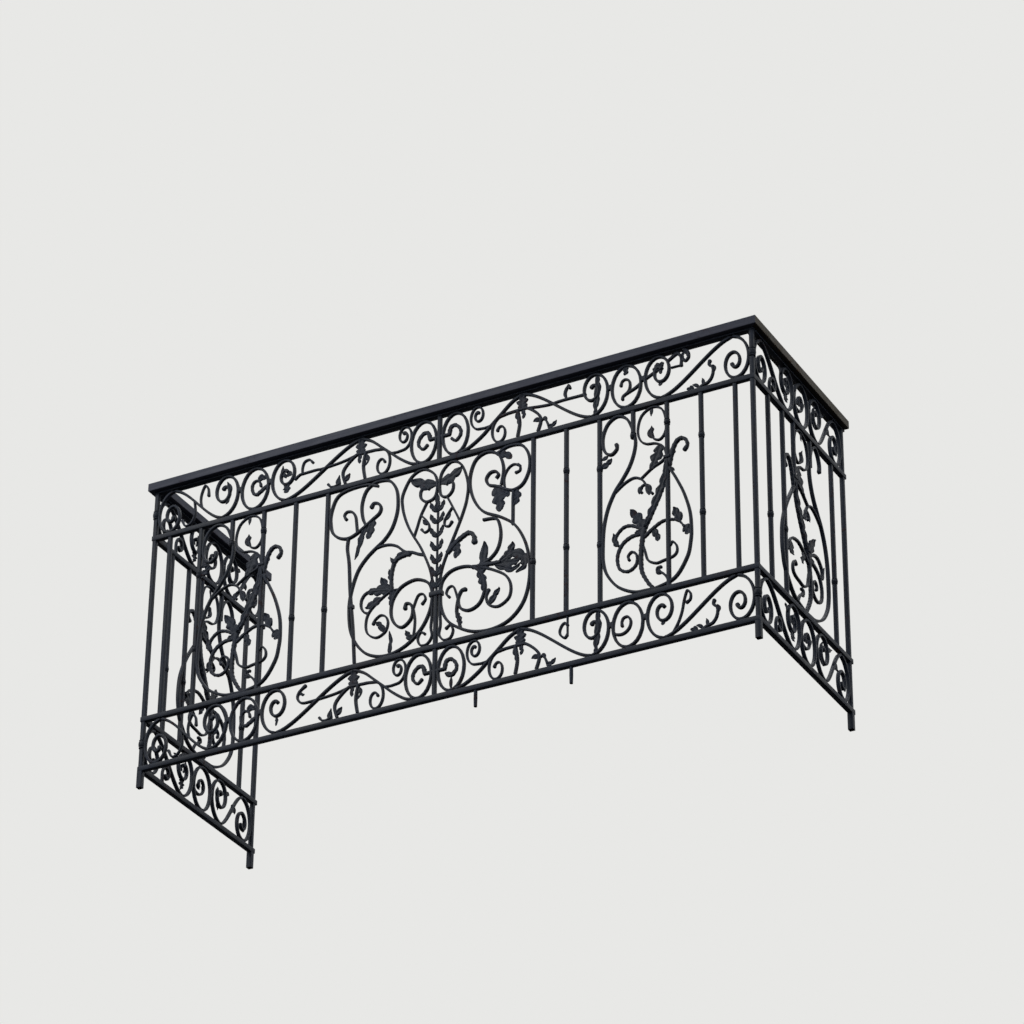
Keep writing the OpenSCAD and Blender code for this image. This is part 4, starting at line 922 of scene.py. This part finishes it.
def add_leaf(iron, edge, bay, rib, width, lobes, lift):
    """A sheet leaf with a grooved midrib, lobes with a vein in each notch, and a tip that curls forward."""
    rows, cols = 9 * lobes + 9, 11
    share = np.linspace(0, 1, rows)
    spine = rib[np.round(share * (len(rib) - 1)).astype(int)]
    way = np.gradient(spine, axis=0)
    way /= np.linalg.norm(way, axis=1)[:, None] + 1e-9
    beside = np.stack([-way[:, 1], way[:, 0]], -1)
    relief = min(1.25, width / 16)
    crinkle = float(spine[0].sum())
    corners = {}
    for i, t in enumerate(share):
        for j, u in enumerate(np.linspace(-1, 1, cols)):
            a = abs(u)
            notch = abs(math.sin(math.pi * lobes * t + 0.35 * u)) ** 0.75
            half = width / 2 * (math.sin(math.pi * t**0.8) ** 0.85 * (0.56 + 0.56 * notch) + 0.1)
            vein = math.exp(-((math.sin(math.pi * (lobes * t - 0.2 * a)) / 0.34) ** 2))
            arch = 2.6 * a**0.7 * (1 - 0.95 * a * a)
            wave = 0.7 * a * math.sin(9 * lobes * t + 4 * u + crinkle)
            curl = 5.0 * max(0, t - 0.7) ** 2 / 0.09
            full = math.sin(math.pi * t)
            front = lift + 1.4 + relief * (arch + wave - 1.5 * vein * a + curl * 0.8 + 1.2 * full)
            spot = (spine[i] + beside[i] * half * u + way[i] * half * 0.3 * a * a * full)[None, :]
            for layer, out in ((0, front), (1, front - LEAF_IRON)):
                vert = iron.verts.new(bay.place(spot, out)[0])
                vert[edge] = 0.9 if a == 1 else 0.35 * (1 - vein) * a
                corners[layer, i, j] = vert

    def face(*spots):
        iron.faces.new([corners[spot] for spot in spots]).material_index = 1

    for i in range(rows - 1):
        for j in range(cols - 1):
            for layer in (0, 1):
                face((layer, i, j), (layer, i + 1, j), (layer, i + 1, j + 1), (layer, i, j + 1))
        for j in (0, cols - 1):
            face((0, i, j), (0, i + 1, j), (1, i + 1, j), (1, i, j))
    for j in range(cols - 1):
        for i in (0, rows - 1):
            face((0, i, j), (0, i, j + 1), (1, i, j + 1), (1, i, j))


def plain_mesh(iron, name):
    """The mesh of worked iron."""
    mesh = bpy.data.meshes.new(name)
    iron.to_mesh(mesh)
    iron.free()
    return mesh


def weld(iron, *meshes):
    """Joins meshes to worked iron, and clears them away."""
    for mesh in meshes:
        iron.from_mesh(mesh)
        bpy.data.meshes.remove(mesh)


def skin(iron, rings):
    """Faces from each ring of corners to the next, and a cap at both ends."""
    count = len(rings[0])
    for a, b in zip(rings, rings[1:]):
        for i in range(count):
            j = (i + 1) % count
            iron.faces.new([a[i], a[j], b[j], b[i]])
    iron.faces.new(rings[0])
    iron.faces.new(rings[-1])


def hand_over(name, mesh, node, materials, sharp=48.0):
    """Finishes a piece: faces outwards, soft shading, and its place in the frame."""
    mesh.name = name
    mesh.materials.clear()
    for material in materials:
        mesh.materials.append(material)
    iron = bmesh.new()
    iron.from_mesh(mesh)
    bmesh.ops.recalc_face_normals(iron, faces=iron.faces)
    iron.to_mesh(mesh)
    iron.free()
    mesh.shade_smooth()
    mesh.set_sharp_from_angle(angle=math.radians(sharp))
    piece = bpy.data.objects.new(name, mesh)
    bpy.context.scene.collection.objects.link(piece)
    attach(piece, "root")
    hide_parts(node)


def forge(name, node, pen, bay, *extra):
    """Forges a drawing into one piece, with any extra meshes welded on."""
    iron = bmesh.new()
    weld(iron, forged(pen.rods, bay, 0.3), *extra)
    edge = iron.verts.layers.float["edge"]
    for leaf in pen.leaves:
        add_leaf(iron, edge, bay, *leaf)
    both = [paints()[word] for word in ("forged_iron_paint", "leaf_paint")]
    hand_over(name, plain_mesh(iron, name), node, both)


# Outline of a turned collar as shares of its width and height; its upper half mirrors the lower one
BEAD = 0.91
TURNED = [
    (0.60, -0.5), (0.84, -0.5), (BEAD, -0.45), (0.84, -0.39), (0.80, -0.36), (0.94, -0.24), (1.0, -0.08),
]
TURNED += [(share, -z) for share, z in reversed(TURNED)]


def turned_mesh(width, height):
    """A turned collar about the origin, in metres."""
    iron = bmesh.new()
    edge = iron.verts.layers.float.new("edge")
    rings = []
    for share, z in TURNED:
        ring = []
        for a in np.radians(np.arange(28) * 360 / 28):
            r = share * width / 2000
            vert = iron.verts.new((r * math.cos(a), r * math.sin(a), z * height / 1000))
            vert[edge] = 0.8 if share == BEAD else 0.2
            ring.append(vert)
        rings.append(ring)
    skin(iron, rings)
    return plain_mesh(iron, "collar")


def collar_tree():
    """Sets one turned collar on every point."""
    if "collars_on_bars" in bpy.data.node_groups:
        return bpy.data.node_groups["collars_on_bars"]
    tree = bpy.data.node_groups.new("collars_on_bars", "GeometryNodeTree")
    b = Bench(tree)
    inputs = {"Places": "Geometry", "Collar": "Object", "Paint": "Material"}
    places, collar, paint = b.group(inputs, "Collars")
    one = b.add("GeometryNodeObjectInfo", {"transform_space": "ORIGINAL"}, {"Object": collar}, "Geometry")
    b.paint(b.add("GeometryNodeInstanceOnPoints", {}, {"Points": places, "Instance": one}), paint)
    return tree


def collars(places, width, height):
    """Collars at a few places, in millimetres."""
    pattern = bpy.data.objects.new("collar", turned_mesh(width, height))
    mesh = bpy.data.meshes.new("places")
    mesh.from_pydata([tuple(v / 1000 for v in p) for p in places], [], [])
    holder = bpy.data.objects.new("places", mesh)
    for made in (pattern, holder):
        bpy.context.scene.collection.objects.link(made)
    made = grown(collar_tree(), holder, {"Collar": pattern, "Paint": paints()["forged_iron_paint"]})
    bpy.data.objects.remove(holder)
    bpy.data.objects.remove(pattern)
    return made


def uprights(name, node, bars, width, knots=(), size=COLLAR, corner=0.2):
    """Square uprights, each given by x, y, low and high z, with collars of one size."""
    iron = bmesh.new()
    for x, y, low, high in bars:
        pen = Pen()
        pen.bar((0, low), (0, high), max(2, int((high - low) / 24)), width, width)
        weld(iron, forged(pen.rods, front_bay(x, 0, y=y), corner))
    if knots:
        weld(iron, collars(knots, *size))
    hand_over(name, plain_mesh(iron, name), node, [paints()["forged_iron_paint"]])


# Handrail and rails
# Rounding of the corners of square rails and feet, and of round pins
SQUARE, ROUND = 0.14, 0.9
# The three lengths that every rail comes in
RUNS = {"front": 0, **SIDES}


def rail_profile():
    """Section of the handrail as points across and up, with how worn each one is."""
    w, top, low = HAND_W / 2, 3.0, 1.5
    half = [(0.0, 0.0, 0.0), (w - 7, 0.0, 0.0)]
    for g in np.radians(np.arange(0, 91, 30)):
        half.append((w - low + low * math.sin(g), low - low * math.cos(g), 0.5))
    half += [(w, 5.0, 0.15), (w, HAND_H / 2, 0.0), (w, HAND_H - top - 2, 0.1)]
    for g in np.radians(np.arange(0, 91, 18)):
        worn = 0.8 if 0.4 < g < 1.2 else 0.4
        half.append((w - top + top * math.cos(g), HAND_H - top + top * math.sin(g), worn))
    half += [(w - 8, HAND_H, 0.1), (0.0, HAND_H, 0.0)]
    return half + [(-u, v, e) for u, v, e in half[-2:0:-1]]


def handrail_mesh(side):
    """One length of the handrail, mitred at the corners; side 0 is the front."""
    iron = bmesh.new()
    edge = iron.verts.layers.float.new("edge")
    rings = []
    for t in np.linspace(0, 1, 96 if side == 0 else 34):
        ring = []
        for u, v, worn in rail_profile():
            if side == 0:
                spot = ((2 * t - 1) * (HALF_W - u), FRONT_Y + u)
            else:
                spot = (side * (HALF_W - u), FRONT_Y + u + (WALL_Y - u) * t)
            vert = iron.verts.new((spot[0] / 1000, spot[1] / 1000, (HAND_Z + v) / 1000))
            vert[edge] = worn
            ring.append(vert)
        rings.append(ring)
    skin(iron, rings)
    return plain_mesh(iron, "handrail")


def rail(name, node, side, z, h):
    """A square rail from z up to z + h; side 0 is the front, which runs round both corners."""
    bay = front_bay(0, z + h / 2) if side == 0 else side_bay(side, z + h / 2)
    ends = (-HALF_W - RAIL / 2, HALF_W + RAIL / 2) if side == 0 else (RAIL / 2, WALL_Y)
    pen = Pen()
    pen.bar((ends[0], 0), (ends[1], 0), int((ends[1] - ends[0]) / 30), h, RAIL)
    hand_over(name, forged(pen.rods, bay, SQUARE), node, [paints()["forged_iron_paint"]])


class RAILING_OT_handrail(bpy.types.Operator):
    """Plain handrail with softened edges, and the flat bar that carries it"""

    bl_idname = "railing.handrail"
    bl_label = "Handrail"

    def execute(self, context):
        made = paints()
        for word, side in RUNS.items():
            paint = made["side_handrail_paint" if side == RIGHT else "handrail_paint"]
            node = f"handrail_{word}"
            hand_over(f"plain_{node}", handrail_mesh(side), node, [paint], 60.0)
            rail(f"flat_bar_{word}", f"handrail_bed_{word}", side, BED_Z, HAND_Z - BED_Z)
        return {"FINISHED"}


class RAILING_OT_rails(bpy.types.Operator):
    """The three square rails of the front and of each side"""

    bl_idname = "railing.rails"
    bl_label = "Rails"

    def execute(self, context):
        levels = {"upper": UPPER_Z, "lower": LOWER_Z, "bottom": FOOT_H}
        for level, z in levels.items():
            for word, side in RUNS.items():
                node = f"{level}_rail_{word}"
                rail(f"square_{node}", node, side, z, RAIL)
        return {"FINISHED"}


class RAILING_OT_posts(bpy.types.Operator):
    """Corner posts with turned bosses, wall posts, and the feet and pins under them"""

    bl_idname = "railing.posts"
    bl_label = "Posts and feet"

    def execute(self, context):
        # Lower frieze, panel and upper frieze
        spans = ((BOTTOM_TOP, LOWER_Z), (PANEL_Z, UPPER_Z), (HIGH_Z, BED_Z))
        for word, side in SIDES.items():
            for kind, y in (("corner", FRONT_Y), ("wall", FRONT_Y + SIDE_D)):
                x = side * HALF_W
                bars = [(x, y, low, high) for low, high in spans]
                # A boss halfway up each frieze, on the corner posts alone
                bosses = [(x, y, (low + high) / 2) for low, high in spans[::2]] if kind == "corner" else []
                node = f"{kind}_post_{word}"
                uprights(f"forged_{node}", node, bars, POST, bosses, BOSS)
                node = f"{kind}_foot_{word}"
                uprights(f"square_{node}", node, [(x, y, 0, FOOT_H)], FOOT_W, corner=SQUARE)
        pins = [(x, FRONT_Y, 0, FOOT_H) for x in PIN_X]
        uprights("round_middle_pins", "middle_pins", pins, PIN_D, corner=ROUND)
        return {"FINISHED"}


class RAILING_OT_bars(bpy.types.Operator):
    """Square upright bars of the panel, with turned collars"""

    bl_idname = "railing.bars"
    bl_label = "Upright bars"

    def execute(self, context):
        for word, side in SIDES.items():
            bars, knots = [], []
            for i, heights in KNOTS[side].items():
                bars.append((bar_x(side, i), FRONT_Y, PANEL_Z, UPPER_Z))
                knots += [(bar_x(side, i), FRONT_Y, PANEL_Z + v * PANEL_K) for v in heights]
            uprights(f"forged_bars_front_{word}", f"bars_front_{word}", bars, BAR, knots)
            bars = [(side * HALF_W, FRONT_Y + u, PANEL_Z, UPPER_Z) for u in SIDE_BARS]
            knots = [(x, y, PANEL_Z + MID_KNOT * PANEL_K) for x, y, _, _ in bars]
            uprights(f"forged_bars_side_{word}", f"bars_side_{word}", bars, BAR, knots)
        return {"FINISHED"}


class RAILING_OT_friezes(bpy.types.Operator):
    """Scrollwork friezes over and under the panel"""

    bl_idname = "railing.friezes"
    bl_label = "Friezes"

    def execute(self, context):
        for word, side in SIDES.items():
            for level, z in (("top", HIGH_Z), ("bottom", BOTTOM_TOP)):
                pen = Pen(1, FRIEZE_K)
                frieze_half(pen, side, level)
                node = f"frieze_{level}_front_{word}"
                forge(f"scroll_{node}", node, pen, front_bay(MIDDLE_X, z, side))
                pen = Pen(1, FRIEZE_K)
                frieze_side(pen)
                node = f"frieze_{level}_side_{word}"
                forge(f"scroll_{node}", node, pen, side_bay(side, z))
        return {"FINISHED"}


class RAILING_OT_teardrops(bpy.types.Operator):
    """Teardrop ornaments, two in the front and one in each side"""

    bl_idname = "railing.teardrops"
    bl_label = "Teardrops"

    def execute(self, context):
        for word, side in SIDES.items():
            pen = Pen(2 * PITCH[side] / DROP_REF, PANEL_K)
            teardrop(pen, FRONT_BULGE, FRONT_HEAD)
            bar_leaves(pen)
            drop_bars(pen, 0)
            node = f"teardrop_front_{word}"
            bay = front_bay(bar_x(side, DROP_BAR[side]), PANEL_Z)
            ring = collars(1000 * bay.place(np.array(pen.at(DROP_COLLARS))), *COLLAR)
            forge(f"forged_{node}", node, pen, bay, ring)
            pen = Pen(SIDE_DROP_K, PANEL_K)
            teardrop(pen, SIDE_BULGE, SIDE_HEAD)
            drop_bars(pen, SIDE_BAR_LOW)
            node = f"teardrop_side_{word}"
            forge(f"forged_{node}", node, pen, side_bay(side, PANEL_Z, SIDE_DROP_FAR, -1))
        return {"FINISHED"}


def middle_bar():
    """The middle bar through both friezes, with a broad band where it ends in the panel."""
    top = PANEL_Z + STEM_LOW * PANEL_K
    bay = front_bay(MIDDLE_X, 0)
    iron = bmesh.new()
    for low, high in ((BOTTOM_TOP, LOWER_Z), (PANEL_Z, top), (HIGH_Z, BED_Z)):
        pen = Pen()
        pen.bar((0, low), (0, high), 2, BAR)
        weld(iron, forged(pen.rods, bay, 0.2))
    pen = Pen()
    pen.tie(0, top - BAND_H / 2, BAND_W, BAND_H, BAR + 5)
    weld(iron, forged(pen.rods, bay, 0.22))
    mesh = plain_mesh(iron, "middle_bar")
    hand_over("forged_middle_bar", mesh, "middle_bar", [paints()["forged_iron_paint"]])


def middle_stem():
    """The leafy stem that grows out of the middle bar."""
    pen = Pen(1, PANEL_K)
    pen.rod(pen.at([(0, STEM_LOW), (0, 300), (0, 400), (0, 482)]), VINE, 5, deep=7)
    for s in (-1, 1):
        for v in (186, 226, 268, 312, 358, 404, 444):
            pen.blade([(0, v), (s * (6 + v / 45), v + 16), (s * (9 + v / 32), v + 34)], 15, 2, 3.2)
    pen.blade([(0, 452), (0, 476), (0, 504)], 17, 2, 3.2)
    forge("leafy_middle_stem", "middle_stem", pen, front_bay(MIDDLE_X, PANEL_Z))


class RAILING_OT_lyre(bpy.types.Operator):
    """Lyre in the middle of the front, with its middle bar, band and leafy stem"""

    bl_idname = "railing.lyre"
    bl_label = "Lyre"

    def execute(self, context):
        for word, side in SIDES.items():
            # The last free bar of each half bounds the lyre
            last_bar = bar_x(side, max(KNOTS[side]))
            across = abs(last_bar - MIDDLE_X) - BAR / 2 - SCROLL / 2
            pen = Pen(across / LYRE_REF[side], PANEL_K)
            (lyre_right if side == RIGHT else lyre_left)(pen)
            forge(f"forged_lyre_{word}", f"lyre_{word}", pen, front_bay(MIDDLE_X, PANEL_Z, side))
        middle_bar()
        middle_stem()
        return {"FINISHED"}


# Stage: half the width of the floor and the place the lamps look at, in metres
FLOOR, LAMP_AIM = 40, (0, 0, 0.6)
# Share of the floor's colour that it reflects to the camera, and that it glows with
FLOOR_MATT, FLOOR_GLOW = 0.62, 0.68
# The camera: its lens and sensor in millimetres, its turn, rise and lean in degrees, what it looks at and
# from how far, in metres
FOCAL, SENSOR = 139.615, 36
CAMERA_TURNS = (28.615, -30.372, 0.6229)
CAMERA_AIM, CAMERA_AWAY = (0.234458, -0.3075, 0.612084), 11.57239


def lay_floor(scene, colour):
    """A pale floor at z = 0, one-sided, so a camera under its level looks through it at the background."""
    floor_paint = bpy.data.materials.new("studio_floor")
    b = bare(floor_paint)
    # To the camera it glows a little and reflects less than its colour, so it is pale with a soft shadow
    seen = b.add("ShaderNodeLightPath", {}, {}, "Is Camera Ray")
    pale = b.blend(seen, tone(100, 100, 102), [FLOOR_MATT * v for v in colour])
    glow = b.blend(seen, (0, 0, 0), [FLOOR_GLOW * v for v in colour])
    looks = {"Base Color": pale, "Roughness": 1.0, "Specular IOR Level": 0.0}
    looks.update({"Emission Color": glow, "Emission Strength": 1.0})
    matt = b.add("ShaderNodeBsdfPrincipled", {}, looks)
    clear = b.add("ShaderNodeBsdfTransparent")
    under = b.add("ShaderNodeNewGeometry", {}, {}, "Backfacing")
    b.finish("ShaderNodeOutputMaterial", b.add("ShaderNodeMixShader", {}, {0: under, 1: matt, 2: clear}))
    mesh = bpy.data.meshes.new("studio_floor")
    corners = [(-FLOOR, -FLOOR, 0), (FLOOR, -FLOOR, 0), (FLOOR, FLOOR, 0), (-FLOOR, FLOOR, 0)]
    mesh.from_pydata(corners, [], [(0, 1, 2, 3)])
    mesh.materials.append(floor_paint)
    floor = bpy.data.objects.new("studio_floor", mesh)
    scene.collection.objects.link(floor)


def hang_sky(scene, colour, ambient):
    """A background that shows its own colour and lights the railing with a cooler, weaker sky."""
    scene.world = bpy.data.worlds.new("studio")
    b = bare(scene.world)
    path = b.add("ShaderNodeLightPath").socket.node.outputs
    rays = [Wire(b, path[f"Is {kind} Ray"]) for kind in ("Camera", "Glossy", "Transmission")]
    direct = (rays[0] + rays[1] + rays[2]).kept()
    sky = b.blend(direct, tone(205, 208, 214), colour)
    strength = b.add("ShaderNodeMix", {"data_type": "FLOAT"}, {0: direct, 2: ambient, 3: 1.0})
    glow = b.add("ShaderNodeBackground", {}, {"Color": sky, "Strength": strength})
    b.finish("ShaderNodeOutputWorld", glow)


def hang_lamp(scene, name, spot, size, power):
    """A square soft lamp, turned to the middle of the railing."""
    light = bpy.data.lights.new(name, "AREA")
    light.shape, light.size, light.energy = "SQUARE", size, power
    lamp = bpy.data.objects.new(name, light)
    lamp.location = spot
    lamp.rotation_euler = (Vector(LAMP_AIM) - Vector(spot)).to_track_quat("-Z", "Y").to_euler()
    scene.collection.objects.link(lamp)


def set_camera(scene):
    """A long lens that looks up at the railing from far below and from its right."""
    lens = bpy.data.cameras.new("camera")
    lens.sensor_width, lens.lens, lens.clip_end = SENSOR, FOCAL, 100
    camera = bpy.data.objects.new("camera", lens)
    turn, rise, lean = [math.radians(v) for v in CAMERA_TURNS]
    back = Vector((math.sin(turn) * math.cos(rise), -math.cos(turn) * math.cos(rise), math.sin(rise)))
    right = (-back).cross(Vector((0, 0, 1))).normalized()
    up = right.cross(-back)
    across = math.cos(lean) * right + math.sin(lean) * up
    upward = math.cos(lean) * up - math.sin(lean) * right
    spot = Matrix.Translation(Vector(CAMERA_AIM) + back * CAMERA_AWAY)
    camera.matrix_world = spot @ Matrix((across, upward, back)).transposed().to_4x4()
    scene.collection.objects.link(camera)
    scene.camera = camera


class RAILING_OT_stage(bpy.types.Operator):
    """Pale floor and background, soft studio lamps and the camera"""

    bl_idname = "railing.stage"
    bl_label = "Stage"

    def execute(self, context):
        scene = context.scene
        stage = scene.railing_stage
        lay_floor(scene, stage.floor)
        hang_sky(scene, stage.floor, stage.ambient)
        hang_lamp(scene, "key", (-3.2, -4.6, 4.2), 3.2, stage.key)
        hang_lamp(scene, "fill", (4.6, -3.4, 1.8), 1.6, stage.fill)
        hang_lamp(scene, "sky", (0.0, 0.6, 4.5), 4.0, stage.top)
        set_camera(scene)
        scene.view_settings.view_transform = "Standard"
        return {"FINISHED"}


# Settings, panel and run
def shade(name, description, default):
    """A colour that can be set."""
    words = {"name": name, "description": description, "default": default}
    return bpy.props.FloatVectorProperty(**words, size=3, subtype="COLOR", min=0, max=1)


def power(name, description, default):
    """A lamp's power that can be set."""
    words = {"name": name, "description": description, "default": default}
    return bpy.props.FloatProperty(**words, min=0, unit="POWER")


class RailingColours(bpy.types.PropertyGroup):
    """Colours of the paint"""

    paint: shade("Paint", "Dark satin paint on bars, rails and scrolls", tone(27, 36, 48))
    chalk: shade("Chalky paint", "What the paint fades to in patches", tone(58, 66, 82))
    leaf: shade("Leaves", "Paint on the sheet leaves", tone(37, 41, 48))
    handrail: shade("Handrail", "Paint on the handrail", tone(32, 46, 68))
    side_handrail: shade("Right handrail", "Browner paint on the handrail's right return", tone(46, 41, 35))


class RailingStage(bpy.types.PropertyGroup):
    """Light and floor of the studio"""

    floor: shade("Floor", "Colour of the floor and the background", tone(232, 232, 230))
    ambient: bpy.props.FloatProperty(
        name="Ambient", description="Strength of the light from all round", default=0.16, min=0
    )
    key: power("Key lamp", "Lamp in front, high on the left", 120)
    fill: power("Fill lamp", "Lamp on the right", 15)
    top: power("Sky lamp", "Lamp overhead", 85)


STEPS = (
    RAILING_OT_handrail,
    RAILING_OT_rails,
    RAILING_OT_posts,
    RAILING_OT_bars,
    RAILING_OT_friezes,
    RAILING_OT_teardrops,
    RAILING_OT_lyre,
    RAILING_OT_stage,
)


class RAILING_PT_sidebar(bpy.types.Panel):
    """Steps and settings of the railing"""

    bl_idname = "RAILING_PT_sidebar"
    bl_label = "Balcony railing"
    bl_space_type = "VIEW_3D"
    bl_region_type = "UI"
    bl_category = "Railing"

    def draw(self, context):
        for step in STEPS:
            self.layout.operator(step.bl_idname)
        for group in (context.scene.railing_colours, context.scene.railing_stage):
            for name in group.bl_rna.properties.keys():
                if name not in ("rna_type", "name"):
                    self.layout.prop(group, name)


CLASSES = (RailingColours, RailingStage, *STEPS, RAILING_PT_sidebar)


def register():
    """Adds the settings, steps and panel."""
    for made in CLASSES:
        bpy.utils.register_class(made)
    bpy.types.Scene.railing_colours = bpy.props.PointerProperty(type=RailingColours)
    bpy.types.Scene.railing_stage = bpy.props.PointerProperty(type=RailingStage)


def unregister():
    """Takes them away again."""
    del bpy.types.Scene.railing_colours
    del bpy.types.Scene.railing_stage
    for made in reversed(CLASSES):
        bpy.utils.unregister_class(made)


def main():
    """Registers the settings and makes every piece in order."""
    register()
    for step in STEPS:
        family, name = step.bl_idname.split(".")
        getattr(getattr(bpy.ops, family), name)()


if __name__ == "__main__":
    main()
